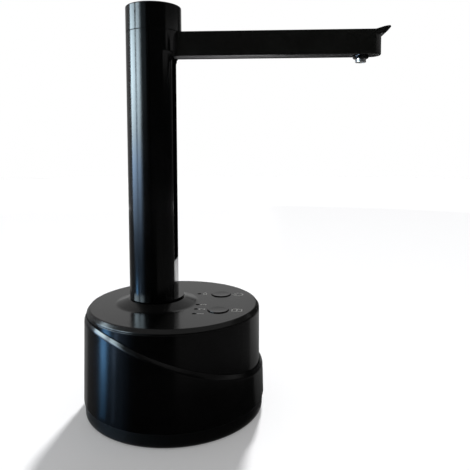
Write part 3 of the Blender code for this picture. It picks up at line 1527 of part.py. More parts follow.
def arm_side_loop():
    """Side view of the arm from its hinge: round root, straight top, lip and rounded tip."""
    half = ARM_HALF
    loop = []
    for step in range(SIDES_SMALL // 2 + 1):
        angle = math.pi / 2 + math.pi * step / (SIDES_SMALL // 2)
        loop.append((half * math.cos(angle), half * math.sin(angle)))
    loop.append((ARM_REACH - ARM_TIP_R, -half))
    loop.append((ARM_REACH - ARM_TIP_R * 0.3, -half + ARM_TIP_R * 0.3))
    loop.append((ARM_REACH, -half + ARM_TIP_R))
    loop.append((ARM_REACH, half - LIP_ROOT_DEPTH))
    tip_x = ARM_REACH + LIP_REACH
    loop.append((ARM_REACH + LIP_REACH * 0.45, half - LIP_ROOT_DEPTH * 0.55))
    loop.append((tip_x - LIP_THICK * 0.4, half + LIP_RISE - LIP_THICK))
    loop.append((tip_x, half + LIP_RISE - LIP_THICK * 0.5))
    loop.append((tip_x - LIP_THICK * 0.3, half + LIP_RISE))
    loop.append((ARM_REACH + LIP_REACH * 0.35, half + LIP_RISE * 0.75))
    loop.append((ARM_REACH - LIP_FLARE * 0.3, half + LIP_RISE * 0.25))
    loop.append((ARM_REACH - LIP_FLARE, half))
    return loop


def arm_end_corner(side):
    """Plan of what is cut off one upright corner of the arm's free end to round it."""
    half_width = side * ARM_WIDTH / 2
    outside = side * (ARM_WIDTH / 2 + OVERRUN)
    loop = [(ARM_REACH + OVERRUN, outside), (ARM_REACH - ARM_END_R, outside)]
    for step in range(SIDES_SMALL // 4 + 1):
        angle = math.pi / 2 * step / (SIDES_SMALL // 4)
        across = ARM_REACH - ARM_END_R * (1 - math.sin(angle))
        loop.append((across, half_width - side * ARM_END_R * (1 - math.cos(angle))))
    loop.append((ARM_REACH + OVERRUN, half_width - side * ARM_END_R))
    return loop


def make_arm(pivot):
    half = ARM_HALF
    shell = to_mesh(outline("arm_shell", [arm_side_loop()], ARM_WIDTH, upright=True, parent=pivot))
    shell.location = (0, 0, 0)
    soften(shell, ARM_EDGE)
    inner_y = ARM_WIDTH / 2 - ARM_WALL
    cover_end = ARM_REACH - ARM_COVER_END_WALL
    corner_top_z = half - LIP_ROOT_DEPTH
    corner_foot_z = -half - OVERRUN
    corners = outline(
        "arm_end_corners",
        [arm_end_corner(1), arm_end_corner(-1)],
        corner_top_z - corner_foot_z,
        (0, 0, (corner_top_z + corner_foot_z) / 2),
        parent=pivot,
    )
    cut(
        shell,
        to_mesh(corners),
        box(
            "arm_space",
            (-half + ARM_COVER_END_WALL, -inner_y, -half - OVERRUN),
            (cover_end + GAP, inner_y, half - ARM_ROOF),
            parent=pivot,
        ),
        rod(
            "arm_spigot_hole",
            SWIVEL_R + SWIVEL_CLEARANCE,
            (0, inner_y - OVERRUN, 0),
            ARM_WALL + 2 * OVERRUN,
            "Y",
            parent=pivot,
        ),
        rod(
            "arm_pin_hole",
            PIN_R + GAP,
            (0, -ARM_WIDTH / 2 - OVERRUN, 0),
            ARM_WALL + 2 * OVERRUN,
            "Y",
            parent=pivot,
        ),
    )
    finish(shell, GLOSS_BLACK)
    cover_y = inner_y - GAP
    cover = box(
        "arm_lower_cover",
        (ARM_COVER_START, -cover_y, -half + GAP),
        (cover_end, cover_y, -half + GAP + ARM_COVER_THICK),
        parent=pivot,
    )
    nozzle_hole_z = -half - OVERRUN
    nozzle_hole_length = ARM_COVER_THICK + 2 * OVERRUN
    nozzle_hole_r = NOZZLE_TUBE_R + GAP
    cut(
        cover,
        rod(
            "nozzle_hole",
            nozzle_hole_r,
            (NOZZLE_X, 0, nozzle_hole_z),
            nozzle_hole_length,
            sides=SIDES_SMALL,
            parent=pivot,
        ),
    )
    finish(cover, SATIN_BLACK)


def make_swivel_block(pivot):
    """Block in the arm's root that takes the pin on one side and the hollow swivel on the other."""
    half_y = ARM_WIDTH / 2 - ARM_WALL - GAP
    block = rod("swivel_block", BLOCK_R, (0, -half_y, 0), 2 * half_y, "Y", SIDES_MEDIUM, parent=pivot)
    join(block, rod("block_barb", BARB_R, (BLOCK_R / 2, 0, 0), BLOCK_BARB_REACH - BLOCK_R / 2, "X", parent=pivot))
    socket_r = SWIVEL_R + SWIVEL_CLEARANCE
    seal_y = half_y - SEAL_INSET
    seal_half = SEAL_R + SEAL_SEAT
    spigot_foot = half_y - SWIVEL_DEPTH - GAP * 2
    pin_top = -half_y + PIN_DEPTH + GAP * 2
    cut(
        block,
        rod("spigot_socket", socket_r, (0, spigot_foot, 0), SWIVEL_DEPTH + OVERRUN, "Y", parent=pivot),
        rod(
            "seal_groove",
            SWIVEL_R + GAP + 2 * SEAL_R + GAP,
            (0, seal_y - seal_half, 0),
            2 * seal_half,
            "Y",
            parent=pivot,
        ),
        rod("pin_socket", PIN_R + GAP, (0, pin_top - PIN_DEPTH - OVERRUN, 0), PIN_DEPTH + OVERRUN, "Y", parent=pivot),
        rod("block_bore", BARB_BORE_R, (-SWIVEL_BORE_R, 0, 0), BLOCK_BARB_REACH + OVERRUN, "X", parent=pivot),
        rod("block_cross_bore", SWIVEL_BORE_R, (0, -BARB_BORE_R, 0), half_y, "Y", parent=pivot),
    )
    finish(block, SATIN_BLACK)
    ring = ring_places(8, SEAL_R, math.pi / 8)
    middle_r = SWIVEL_R + GAP + SEAL_R
    profile = [(middle_r + across, along) for across, along in reversed(ring)]
    seal = turned("swivel_seal", profile, (0, seal_y, 0), axis="Y", closed=True, parent=pivot)
    finish(seal, RUBBER)


def make_nozzle(pivot):
    under_z = -ARM_HALF - GAP
    neck_r = NOZZLE_TUBE_R + GAP
    collar_profile = [
        (neck_r, under_z),
        (NOZZLE_COLLAR_R, under_z),
        (NOZZLE_COLLAR_R - NOZZLE_WALL / 2, under_z - NOZZLE_COLLAR_THICK),
        (neck_r, under_z - NOZZLE_COLLAR_THICK),
    ]
    place = (NOZZLE_X, 0, 0)
    collar = turned("nozzle_collar", collar_profile, place, sides=SIDES_MEDIUM, closed=True, parent=pivot)
    finish(collar, GLOSS_BLACK)
    seat_z = -ARM_HALF + GAP + ARM_COVER_THICK + GAP
    top_z = seat_z + NOZZLE_FLANGE_THICK
    foot_z = -ARM_HALF - NOZZLE_DROP
    barb_top = top_z + NOZZLE_BARB_HEIGHT
    tube_profile = [
        (BARB_BORE_R, barb_top),
        (BARB_R, barb_top),
        (BARB_R, top_z),
        (NOZZLE_FLANGE_R, top_z),
        (NOZZLE_FLANGE_R, seat_z),
        (NOZZLE_TUBE_R, seat_z),
        (NOZZLE_TUBE_R, foot_z),
        (NOZZLE_TUBE_R - NOZZLE_WALL, foot_z),
        (NOZZLE_TUBE_R - NOZZLE_WALL, seat_z),
        (BARB_BORE_R, seat_z + NOZZLE_WALL),
    ]
    nozzle = turned("nozzle_tube", tube_profile, place, sides=SIDES_SMALL, closed=True, parent=pivot)
    finish(nozzle, STEEL)
    start = Vector((BLOCK_R + GAP, 0, 0))
    end = Vector((NOZZLE_X, 0, top_z + GAP))
    span = end - start
    points = [start + Vector((a * span.x, 0, b * span.z)) for a, b in ARM_HOSE_ROUTE_SHARES]
    route = smooth_route([start] + points + [end], 3)
    finish(hose("arm_hose", route, ARM_HOSE_R, ARM_HOSE_BORE_R, parent=pivot), SILICONE)


def build():
    make_pad()
    make_bottom_cover()
    make_housing()
    make_sleeve()
    make_top_panel()
    make_buttons()
    make_board()
    make_cell()
    make_back_recess()
    make_inlet()
    make_motor()
    make_pump()
    make_leads()
    make_front_shell()
    make_rear_shell()
    make_cap()
    make_riser()
    make_elbow()
    make_hinge_fixed()
    pivot = add_empty("arm_pivot", HINGE)
    bpy.context.view_layer.update()
    make_arm(pivot)
    make_swivel_block(pivot)
    make_nozzle(pivot)


build()
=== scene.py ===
import json
import math

import bmesh
import bpy
from mathutils import Matrix, Vector


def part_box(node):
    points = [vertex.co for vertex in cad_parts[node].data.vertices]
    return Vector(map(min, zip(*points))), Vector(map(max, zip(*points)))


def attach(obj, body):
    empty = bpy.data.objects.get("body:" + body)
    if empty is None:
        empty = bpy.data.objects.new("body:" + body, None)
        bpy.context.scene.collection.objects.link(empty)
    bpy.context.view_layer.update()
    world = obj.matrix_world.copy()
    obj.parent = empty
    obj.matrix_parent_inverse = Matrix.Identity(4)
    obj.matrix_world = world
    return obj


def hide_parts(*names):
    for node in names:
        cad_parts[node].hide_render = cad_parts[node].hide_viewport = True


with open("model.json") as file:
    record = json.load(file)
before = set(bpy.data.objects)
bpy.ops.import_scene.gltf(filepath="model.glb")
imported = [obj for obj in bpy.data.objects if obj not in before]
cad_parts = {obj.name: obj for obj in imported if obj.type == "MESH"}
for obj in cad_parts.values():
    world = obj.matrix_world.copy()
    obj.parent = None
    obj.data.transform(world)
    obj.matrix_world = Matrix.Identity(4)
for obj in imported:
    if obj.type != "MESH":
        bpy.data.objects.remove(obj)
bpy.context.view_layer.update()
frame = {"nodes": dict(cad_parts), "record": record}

# How fine the pieces are made
BASE_STEPS = 256
COLUMN_STEPS = 192
ROUND_STEPS = 96
SMALL_STEPS = 48
ARC_STEPS = 4
ARM_END_STEPS = 16
SHARP_ANGLE = math.radians(38)
FLAT_ANGLE = math.radians(0.2)
MERGE = 1e-7
OVERRUN = 0.001
GAP = 0.0003
HAIR_EDGE = 0.00015
FINE_EDGE = 0.0003
SOFT_EDGE = 0.0005

# Base, from the frame and from its own sizes
FOOT_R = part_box("base_sleeve")[1].y
SEAM_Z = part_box("bottom_cover")[1].z
SHELL_FOOT_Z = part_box("base_sleeve")[0].z
HOUSING_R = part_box("upper_housing")[1].y
HOUSING_TOP_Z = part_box("upper_housing")[1].z
PAD_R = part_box("non_slip_pad")[1].y
PAD_TOP_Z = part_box("non_slip_pad")[1].z
PAD_GROOVES = 5
PAD_GROOVE_WIDTH = 0.0012
PAD_GROOVE_DEPTH = 0.0003
COVER_SEAM_R = FOOT_R - 0.0004
COVER_FOOT_R = COVER_SEAM_R - 0.0006
COVER_RIM_R = COVER_SEAM_R - 0.0060
COVER_STAND = 0.0006
COVER_FLOOR = 0.0024
COVER_EDGE = 0.0010
SLEEVE_TAPER = 0.0014
SLEEVE_TOP_R = FOOT_R - SLEEVE_TAPER
SLEEVE_INNER_R = HOUSING_R + 0.0004
SLEEVE_CHAMFER_DROP = 0.0026
SLEEVE_LIP_R = 0.0008
SLEEVE_BACK_Z = HOUSING_TOP_Z - 0.0012
SLEEVE_FRONT_Z = HOUSING_TOP_Z - 0.0371
SLEEVE_SLOPE = 0.359
SLEEVE_BEND_X = -0.0200
HOUSING_WALL = 0.0022
BOSS_COUNT = 4
BOSS_RING_R = HOUSING_R - HOUSING_WALL - 0.0073
BOSS_R = 0.0040
BOSS_HEIGHT = 0.0150
SCREW_HOLE_R = 0.0018
SCREW_SINK_R = 0.0031
SCREW_SINK = 0.0028
PILLAR_R = 0.0045

# Top panel with its cone, buttons and lights
PANEL_UNDER_Z = HOUSING_TOP_Z + GAP
PANEL_TOP_Z = PANEL_UNDER_Z + 0.0029
PANEL_DISC_R = HOUSING_R - 0.0019
PANEL_LAND = 0.0004
PANEL_RIB = 0.0030
PANEL_RIB_WALL = 0.0016
CONE_R = 0.0283
CONE_TOP_R = 0.0196
CONE_FILLET = 0.0012
SEAT_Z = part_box("top_panel")[1].z
BUTTON_R = 0.0067
BUTTON_TOP_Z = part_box("power_button")[1].z
BUTTON_DISH = 0.00025
BUTTON_DISH_SINK = 0.00005
BUTTON_GAP = 0.0004
LIGHT_HOLE_R = 0.0014
BUTTON_FLANGE_R = 0.0084
BUTTON_FLANGE = 0.0012
BUTTON_STEM_R = 0.0026
HOSE_HOLE_R = 0.0043
POST_R = 0.0026
PILOT_R = 0.0013
PILOT_DEPTH = 0.0060
PANEL_HOLE_DEPTH = 0.0090

# Column, given from its own axis in X
COLUMN_X = -0.0120
COLUMN_R = 0.0188
COLUMN_WALL = 0.0016
COLUMN_FOOT_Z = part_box("column_front_shell")[0].z
COLUMN_TOP_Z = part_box("column_front_shell")[1].z
SPLIT_X = 0.0005
FLAT_X = 0.0137
FLAT_SLOPE = 1.5
FLAT_SIDE_R = 0.0100
FLAT_SIDE_CUTS = 6
FLAT_HALF_WIDTH = 1.5 * COLUMN_R
SEAM_R = 0.0002
FLAT_TOP_Z = COLUMN_TOP_Z - 0.01335
FRONT_WALL = 0.0019
FOOT_FLANGE = 0.0014
FOOT_SOLID = 0.0042
FOOT_EDGE = 0.0006
CAP_TOP_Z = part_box("column_cap")[1].z
CAP_FOOT_Z = COLUMN_TOP_Z + GAP
CAP_EDGE = 0.0008
CAP_WALL = 0.0018
CAP_ROOF = 0.0024
CAP_PLUG_DEPTH = 0.0050
CAP_PLUG_WALL = 0.0016
CAP_PLUG_FRONT_X = -0.0030

# Channel and hinge, with the hinge given from the column's axis
HINGE_X = 0.0083
ARM_HALF = 0.00805
HINGE = Vector((COLUMN_X + HINGE_X, 0, COLUMN_TOP_Z - ARM_HALF))
CHANNEL_HALF = 0.0084
CHANNEL_WALL = 0.0012
CHANNEL_BOTTOM_Z = COLUMN_FOOT_Z + 0.02655
CHANNEL_END_WALL = 0.0030
CHANNEL_FLOOR = 0.0014
TROUGH_GAP = 0.00025
POCKET_HALF = 0.0066
POCKET_DEPTH = 0.0051
PIN_R = 0.0018
PIN_BOSS_R = 0.0038
PIN_BOSS_END_Y = 0.0136
PIN_END_Y = 0.0128
SPIGOT_HOLE_R = 0.0026
COLUMN_BOSS_R = 0.0038
COLUMN_BOSS_HEIGHT = 0.0130
FRONT_SCREW_X = 0.0075
REAR_SCREW_X = -0.0045
REAR_SCREW_Y = 0.0110
RISER_X = -0.0115
COLUMN_HOLE_DEPTH = 0.0140

# Arm, given from the hinge
ARM_REACH = 0.1435
ARM_HALF_WIDTH = 0.0075
ARM_WALL = 0.0014
ARM_ROOF = 0.0016
ARM_EDGE = 0.0008
ARM_END_X = ARM_REACH + 0.0008
ARM_CORNER = 0.0070
ARM_END_WALL = 0.0022
ARM_UNDER_EASE = 0.0008
LIP_REACH = 0.0058
LIP_RISE = 0.0021
LIP_THICK = 0.0018
LIP_UNDER_R = 0.0014
LIP_FLARE = 0.0040
LIP_ROOT_DEPTH = 0.0029
LIP_STEPS = 12
LIP_CURVE = 0.65
LIP_TOP_SETBACK = 0.3 * LIP_THICK
LIP_TIP_DROP = 0.5 * LIP_THICK
LIP_BACK_SETBACK = 0.4 * LIP_THICK
LIP_UNDER_REACH = 0.48 * LIP_REACH
LIP_UNDER_DEPTH = 0.84 * LIP_ROOT_DEPTH
ARM_COVER_START = 0.0050
ARM_COVER_THICK = 0.0015
NOZZLE_X = ARM_REACH - 0.0124
NOZZLE_R = 0.0036
NOZZLE_WALL = 0.0008
NOZZLE_FLANGE = 0.0010
NOZZLE_STUB_R = 0.0015
NOZZLE_INLET_R = 0.0008
NOZZLE_GROOVE_AT = (0.0013, 0.0011, 0.0009)
NOZZLE_GROOVE_DEPTH = 0.0002
BLADE_COUNT = 3
BLADE_HALF = 0.00015
BLADE_LOW = 0.0006
BLADE_HIGH = 0.0022
BLADE_RIM_WALL = 0.0004
COLLAR_R = 0.0054
COLLAR_THICK = 0.0018

# Recess in the back of the base
RECESS_Z = 0.0200
RECESS_HALF_WIDTH = 0.0147
RECESS_HALF_HEIGHT = 0.0077
RECESS_MOUTH_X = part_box("port_recess")[0].x
RECESS_BACK_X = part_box("port_recess")[1].x
RECESS_WALL = 0.0015
RECESS_CORNER = 0.0030
SOCKET_Y = -0.0065
INLET_Y = 0.0065
INLET_HOLE_R = 0.0033
INLET_STUB_R = 0.0022
INLET_CORE_R = 0.0030
INLET_BORE_R = 0.0014
INLET_FLANGE = 0.0013
BARB_R = 0.0034
BARB_LENGTH = 0.0024
BARB_COUNT = 4
SOCKET_ROUNDNESS = 0.98
SOCKET_WALL = 0.0004
TONGUE_SETBACK = 0.0009
TONGUE_HALF_WIDTH = 0.0030
TONGUE_HALF_HEIGHT = 0.00035


# Shaping with bmesh

def linked(name, data):
    """New object in the scene."""
    obj = bpy.data.objects.new(name, data)
    bpy.context.scene.collection.objects.link(obj)
    return obj


def mesh_of(name, shape):
    mesh = bpy.data.meshes.new(name)
    shape.to_mesh(mesh)
    shape.free()
    return mesh


def rounded(shape, geom, width, steps, affect, clamp_overlap=False):
    bmesh.ops.bevel(
        shape,
        geom=geom,
        offset=width,
        offset_type="OFFSET",
        segments=steps,
        profile=0.5,
        affect=affect,
        clamp_overlap=clamp_overlap,
        material=-1,
    )


def spun(shape, turn, steps, use_merge):
    """Spins all of a shape about Z."""
    bmesh.ops.spin(
        shape,
        geom=shape.verts[:] + shape.edges[:] + shape.faces[:],
        cent=(0, 0, 0),
        axis=(0, 0, 1),
        angle=turn,
        steps=steps,
        use_merge=use_merge,
    )


def clean(shape):
    bmesh.ops.remove_doubles(shape, verts=shape.verts, dist=MERGE)
    bmesh.ops.dissolve_degenerate(shape, edges=shape.edges, dist=MERGE)
    bmesh.ops.recalc_face_normals(shape, faces=shape.faces)
    return shape


def placed(shape, at=(0, 0, 0), axis="Z"):
    """Lays a shape made about Z along another axis and moves it to its place."""
    turns = {"X": Matrix.Rotation(math.pi / 2, 4, "Y"), "Y": Matrix.Rotation(-math.pi / 2, 4, "X")}
    bmesh.ops.transform(shape, matrix=turns.get(axis, Matrix()), verts=shape.verts)
    bmesh.ops.translate(shape, vec=at, verts=shape.verts)
    return shape


def about_z(shape, angle):
    bmesh.ops.rotate(shape, matrix=Matrix.Rotation(angle, 3, "Z"), verts=shape.verts)
    return shape


def wire(points, steps=ARC_STEPS):
    """Loop of edges through points, each with an optional fourth number that rounds its corner."""
    shape = bmesh.new()
    verts = [shape.verts.new(point[:3]) for point in points]
    for first, last in zip(verts, verts[1:] + verts[:1]):
        shape.edges.new((first, last))
    for vert, point in zip(verts, points):
        if len(point) > 3 and point[3]:
            rounded(shape, [vert], point[3], steps, "VERTICES")
    return shape


def upright(profile):
    """Wire of a profile, whose points are radius, height and rounding."""
    return wire([(point[0], 0, *point[1:]) for point in profile])


def turned(profile, steps=SMALL_STEPS, at=(0, 0, 0), axis="Z"):
    """Solid turned from a profile about an axis through a place."""
    shape = upright(profile)
    on_axis = [edge for edge in shape.edges if max(vert.co.x for vert in edge.verts) < MERGE]
    bmesh.ops.delete(shape, geom=on_axis, context="EDGES_FACES")
    spun(shape, math.tau, steps, True)
    clean(shape)
    bmesh.ops.dissolve_limit(shape, angle_limit=FLAT_ANGLE, verts=shape.verts, edges=shape.edges)
    return placed(shape, at, axis)


def rod(radius, at, length, axis="Z", steps=SMALL_STEPS):
    shape = bmesh.new()
    bmesh.ops.create_cone(
        shape, cap_ends=True, segments=steps, radius1=radius, radius2=radius, depth=length
    )
    return placed(placed(shape, (0, 0, length / 2)), at, axis)


def rods(radius, places, z, length):
    return [rod(radius, (x, y, z), length) for x, y in places]


def block(low, high):
    shape = bmesh.new()
    bmesh.ops.create_cube(shape, size=1)
    low, high = Vector(low), Vector(high)
    bmesh.ops.scale(shape, vec=high - low, verts=shape.verts)
    return placed(shape, (low + high) / 2)


def filled(points, steps=ARC_STEPS):
    shape = wire(points, steps)
    bmesh.ops.contextual_create(shape, geom=shape.edges)
    return shape


def drawn_out(shape, along):
    drawn = bmesh.ops.extrude_face_region(shape, geom=shape.faces[:])["geom"]
    verts = [item for item in drawn if isinstance(item, bmesh.types.BMVert)]
    bmesh.ops.translate(shape, vec=along, verts=verts)
    return shape


def plate(points, along, steps=ARC_STEPS):
    """Flat outline filled and drawn out along a vector."""
    return clean(drawn_out(filled(points, steps), along))


def rounded_bar(low, high, corner):
    """Bar along X whose section is a rectangle with round corners."""
    places = ((low[1], low[2]), (high[1], low[2]), (high[1], high[2]), (low[1], high[2]))
    return plate([(low[0], y, z, corner) for y, z in places], (high[0] - low[0], 0, 0))


def recess_bar(low_x, high_x, y, half_width, half_height, corner):
    """Rounded bar at the recess's height."""
    low = (low_x, y - half_width, RECESS_Z - half_height)
    high = (high_x, y + half_width, RECESS_Z + half_height)
    return rounded_bar(low, high, corner)


def held(shape):
    """Object that holds a shape while a Boolean reads it."""
    return linked("held", mesh_of("held", shape))


def combined(shape, others, operation="DIFFERENCE"):
    target = held(shape)
    tools = [held(other) for other in others]
    for tool in tools:
        step = target.modifiers.new("combine", "BOOLEAN")
        step.operation = operation
        step.solver = "EXACT"
        step.object = tool
    result = bmesh.new()
    result.from_object(target, bpy.context.evaluated_depsgraph_get())
    for obj in [target, *tools]:
        mesh = obj.data
        bpy.data.objects.remove(obj)
        bpy.data.meshes.remove(mesh)
    return clean(result)


def ease(shape, width, picked=lambda middle: True, steps=3, sharper_than=30):
    """Rounds the edges whose middle is picked and whose faces meet at more than an angle."""
    limit = math.radians(sharper_than)
    edges = [
        edge
        for edge in shape.edges
        if edge.is_manifold
        and edge.calc_face_angle() > limit
        and picked((edge.verts[0].co + edge.verts[1].co) / 2)
    ]
    rounded(shape, edges, width, steps, "EDGES", True)
    return shape


def piece(name, shape, material, replaced=(), body="base"):
    """Finished piece of the pump, which rides on a body and stands for the nodes it replaces."""
    mesh = mesh_of(name, clean(shape))
    mesh.materials.append(material)
    mesh.shade_smooth()
    mesh.set_sharp_from_angle(angle=SHARP_ANGLE)
    obj = linked(name, mesh)
    level = obj.modifiers.new("even_shading", "WEIGHTED_NORMAL")
    level.keep_sharp = True
    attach(obj, body)
    if replaced:
        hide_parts(*replaced)
    return obj


def middle_of(node):
    low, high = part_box(node)
    return (low + high) / 2


# Materials

FINE_BUMP = 0.00004


class Signal:
    """Output of a material's node, with sums written as Python expressions."""

    def __init__(self, tree, socket=None):
        self.tree = tree
        self.socket = socket

    def node(self, kind, settings=None, inputs=None, output=0):
        made = self.tree.nodes.new(kind)
        for name, value in (settings or {}).items():
            setattr(made, name, value)
        for name, value in (inputs or {}).items():
            if isinstance(value, Signal):
                self.tree.links.new(value.socket, made.inputs[name])
            else:
                made.inputs[name].default_value = value
        return Signal(self.tree, made.outputs[output])

    def math(self, operation, *values):
        return self.node("ShaderNodeMath", {"operation": operation}, dict(enumerate(values)))

    def __add__(self, other):
        return self.math("ADD", self, other)

    def __sub__(self, other):
        return self.math("SUBTRACT", self, other)

    def __rsub__(self, other):
        return self.math("SUBTRACT", other, self)

    def __mul__(self, other):
        return self.math("MULTIPLY", self, other)

    __radd__ = __add__
    __rmul__ = __mul__

    def over(self, low, high):
        """0 below the low value, 1 above the high one, straight between."""
        inputs = {"Value": self, "From Min": low, "From Max": high}
        return self.node("ShaderNodeMapRange", {"clamp": True}, inputs)

    def noise(self, scale, detail, stretch=(1, 1, 1)):
        place = self.node("ShaderNodeMapping", None, {"Vector": self, "Scale": stretch})
        inputs = {"Vector": place, "Scale": scale, "Detail": detail}
        return self.node("ShaderNodeTexNoise", None, inputs, "Fac")

    def cells(self, scale, feature="F1"):
        inputs = {"Vector": self, "Scale": scale}
        return self.node("ShaderNodeTexVoronoi", {"feature": feature}, inputs, "Distance")

    def between(self, first, second):
        """Colour between two colours by this value."""
        ends = [color if isinstance(color, Signal) else rgb(*color) for color in (first, second)]
        return self.node("ShaderNodeMix", {"data_type": "RGBA"}, {0: self, 6: ends[0], 7: ends[1]}, 2)

    def bumped(self, distance, strength=1.0):
        inputs = {"Height": self, "Distance": distance, "Strength": strength}
        return self.node("ShaderNodeBump", None, inputs)


def rgb(red, green, blue):
    return (red, green, blue, 1.0)


def shader_input(material, socket):
    return material.node_tree.nodes["Principled BSDF"].inputs[socket.replace("_", " ")]


def new_material(name, **constants):
    """Material with constants on its shader's sockets, and the place on the object as a signal."""
    material = bpy.data.materials.new(name)
    material.use_nodes = True
    for socket, value in constants.items():
        shader_input(material, socket).default_value = value
    return material, Signal(material.node_tree).node("ShaderNodeTexCoord", output="Object")


def connected(material, **signals):
    for socket, signal in signals.items():
        signal.tree.links.new(signal.socket, shader_input(material, socket))
    return material


def gloss_plastic(name, dark, light, roughness, peel):
    """Black moulded plastic: faint orange peel, handling smudges and a little dust."""
    material, place = new_material(name, Specular_IOR_Level=0.4)
    smudge = place.noise(38, 4).over(0.42, 0.72)
    fine = place.noise(420, 2)
    dust = place.cells(620).over(0.035, 0.02) * place.noise(90, 2).over(0.55, 0.7)
    return connected(
        material,
        Base_Color=(smudge * 0.6 + dust * 0.25).between(dark, light),
        Roughness=smudge * 0.05 + fine * 0.03 + dust * 0.3 + roughness,
        Normal=(place.noise(700, 2) * peel + fine * peel).bumped(FINE_BUMP),
    )


def circuit_board(name):
    """Green lacquer over copper tracks, with tinned pads."""
    material, place = new_material(name, Specular_IOR_Level=0.5, Coat_Roughness=0.15)
    tracks = place.cells(240, "DISTANCE_TO_EDGE").over(0.07, 0.05)
    pads = place.cells(330).over(0.12, 0.1)
    weave = place.noise(2200, 2)
    green = tracks.between((0.006, 0.070, 0.026), (0.016, 0.150, 0.050))
    return connected(
        material,
        Base_Color=pads.between(green, (0.62, 0.60, 0.55)),
        Metallic=pads,
        Roughness=weave * 0.1 + 0.3,
        Coat_Weight=1 - pads,
        Normal=(tracks * 0.6 + pads + weave * 0.1).bumped(FINE_BUMP),
    )


def grained(name, first, second, roughness, grain, sway, bump, wear=None, mix=1, wear_sway=0, **constants):
    """Surface whose colour, roughness and height follow a fine grain and, by a mix, broad wear."""
    material, place = new_material(name, **constants)
    fine = place.noise(*grain)
    tone = fine
    rough = fine * sway + roughness
    if wear:
        broad = place.noise(*wear[:2]).over(*wear[2:])
        tone = fine * mix + broad * (1 - mix)
        rough = rough + broad * wear_sway
    return connected(
        material, Base_Color=tone.between(first, second), Roughness=rough, Normal=fine.bumped(*bump)
    )


# Matt plastic with a spark-eroded grain
SATIN = {
    "grain": (2600, 3),
    "sway": 0.14,
    "bump": (0.00006, 0.6),
    "wear": (60, 4, 0.4, 0.75),
    "mix": 0.5,
    "wear_sway": -0.07,
    "Specular_IOR_Level": 0.45,
}

# Bright metal with tool marks that run one way, coloured by its tarnish alone
METAL = {
    "sway": 0.12,
    "bump": (0.00003, 0.5),
    "wear": (130, 4, 0.35, 0.75),
    "mix": 0,
    "wear_sway": 0.06,
    "Metallic": 1.0,
}
MARKS = (900, 3)

PLASTIC_SIDE = gloss_plastic(
    "black_gloss_side", (0.0010, 0.0010, 0.0011), (0.0026, 0.0026, 0.0028), 0.15, 0.5
)
# Lighter, warmer copy of the side's black gloss for the faces that look up: painted light and painted
# reflection on the panel and key tops
TOP_PLASTIC_PAINTED_LIGHT = gloss_plastic(
    "black_gloss_top_painted_light", (0.0022, 0.0022, 0.0021), (0.0050, 0.0050, 0.0046), 0.16, 0.6
)
PLASTIC_COLUMN = gloss_plastic(
    "black_gloss_column", (0.0009, 0.0010, 0.0011), (0.0024, 0.0025, 0.0028), 0.12, 0.35
)
PLASTIC_ARM = gloss_plastic(
    "black_gloss_arm", (0.0055, 0.0058, 0.0052), (0.0095, 0.0098, 0.0090), 0.13, 0.35
)
PLASTIC_FOOT = grained("black_satin_foot", (0.0010, 0.0010, 0.0011), (0.0028, 0.0028, 0.0030), 0.34, **SATIN)
PLASTIC_SATIN = grained("black_satin", (0.010, 0.010, 0.011), (0.022, 0.022, 0.023), 0.42, **SATIN)
LEAD_RED = grained("red_lead", (0.32, 0.010, 0.008), (0.46, 0.022, 0.016), 0.36, **SATIN)
LEAD_BLACK = grained("black_lead", (0.010, 0.010, 0.010), (0.020, 0.020, 0.020), 0.4, **SATIN)
NOZZLE_STEEL = grained(
    "brushed_nozzle_steel", (0.86, 0.87, 0.88), (0.60, 0.60, 0.61), 0.22, (*MARKS, (3, 3, 0.1)), **METAL
)
STEEL = grained(
    "turned_steel", (0.72, 0.73, 0.74), (0.42, 0.42, 0.43), 0.14, (*MARKS, (0.1, 0.1, 3)), **METAL
)
BRASS = grained("brass", (0.72, 0.52, 0.24), (0.42, 0.29, 0.12), 0.2, (*MARKS, (3, 3, 0.2)), **METAL)
RUBBER = grained(
    "black_rubber",
    (0.014, 0.014, 0.015),
    (0.032, 0.032, 0.033),
    roughness=0.72,
    grain=(1500, 4),
    sway=0.2,
    bump=(0.0001, 0.7),
    wear=(45, 5, 0.4, 0.8),
    mix=0.3,
    Specular_IOR_Level=0.3,
)
NYLON = grained(
    "white_nylon",
    (0.62, 0.62, 0.58),
    (0.80, 0.80, 0.76),
    roughness=0.42,
    grain=(1400, 3),
    sway=0.1,
    bump=(FINE_BUMP, 0.5),
    wear=(110, 3, 0, 1),
    mix=0.4,
    Specular_IOR_Level=0.5,
    Subsurface_Weight=0.08,
    Subsurface_Scale=0.002,
)
LENS = grained(
    "smoke_lens",
    (0.001, 0.001, 0.001),
    (0.004, 0.004, 0.003),
    roughness=0.45,
    grain=(900, 3),
    sway=0.2,
    bump=(0.00002, 0.4),
    Specular_IOR_Level=0.06,
)
WRAP = grained(
    "blue_wrap",
    (0.010, 0.050, 0.190),
    (0.022, 0.095, 0.300),
    roughness=0.22,
    grain=(260, 4, (1, 0.25, 1)),
    sway=0.16,
    bump=(0.00012, 0.7),
    Specular_IOR_Level=0.5,
)
SILICONE = grained(
    "milky_silicone",
    (0.62, 0.66, 0.68),
    (0.80, 0.82, 0.82),
    roughness=0.34,
    grain=(160, 4),
    sway=0.14,
    bump=(0.00008, 0.5),
    Subsurface_Weight=0.35,
    Subsurface_Scale=0.003,
    Transmission_Weight=0.25,
    IOR=1.41,
)
INK = grained(
    "pale_ink",
    (0.17, 0.17, 0.17),
    (0.27, 0.27, 0.26),
    roughness=0.5,
    grain=(1800, 4),
    sway=0.2,
    bump=(0.00002, 0.5),
    Specular_IOR_Level=0.3,
)
BOARD = circuit_board("green_board")

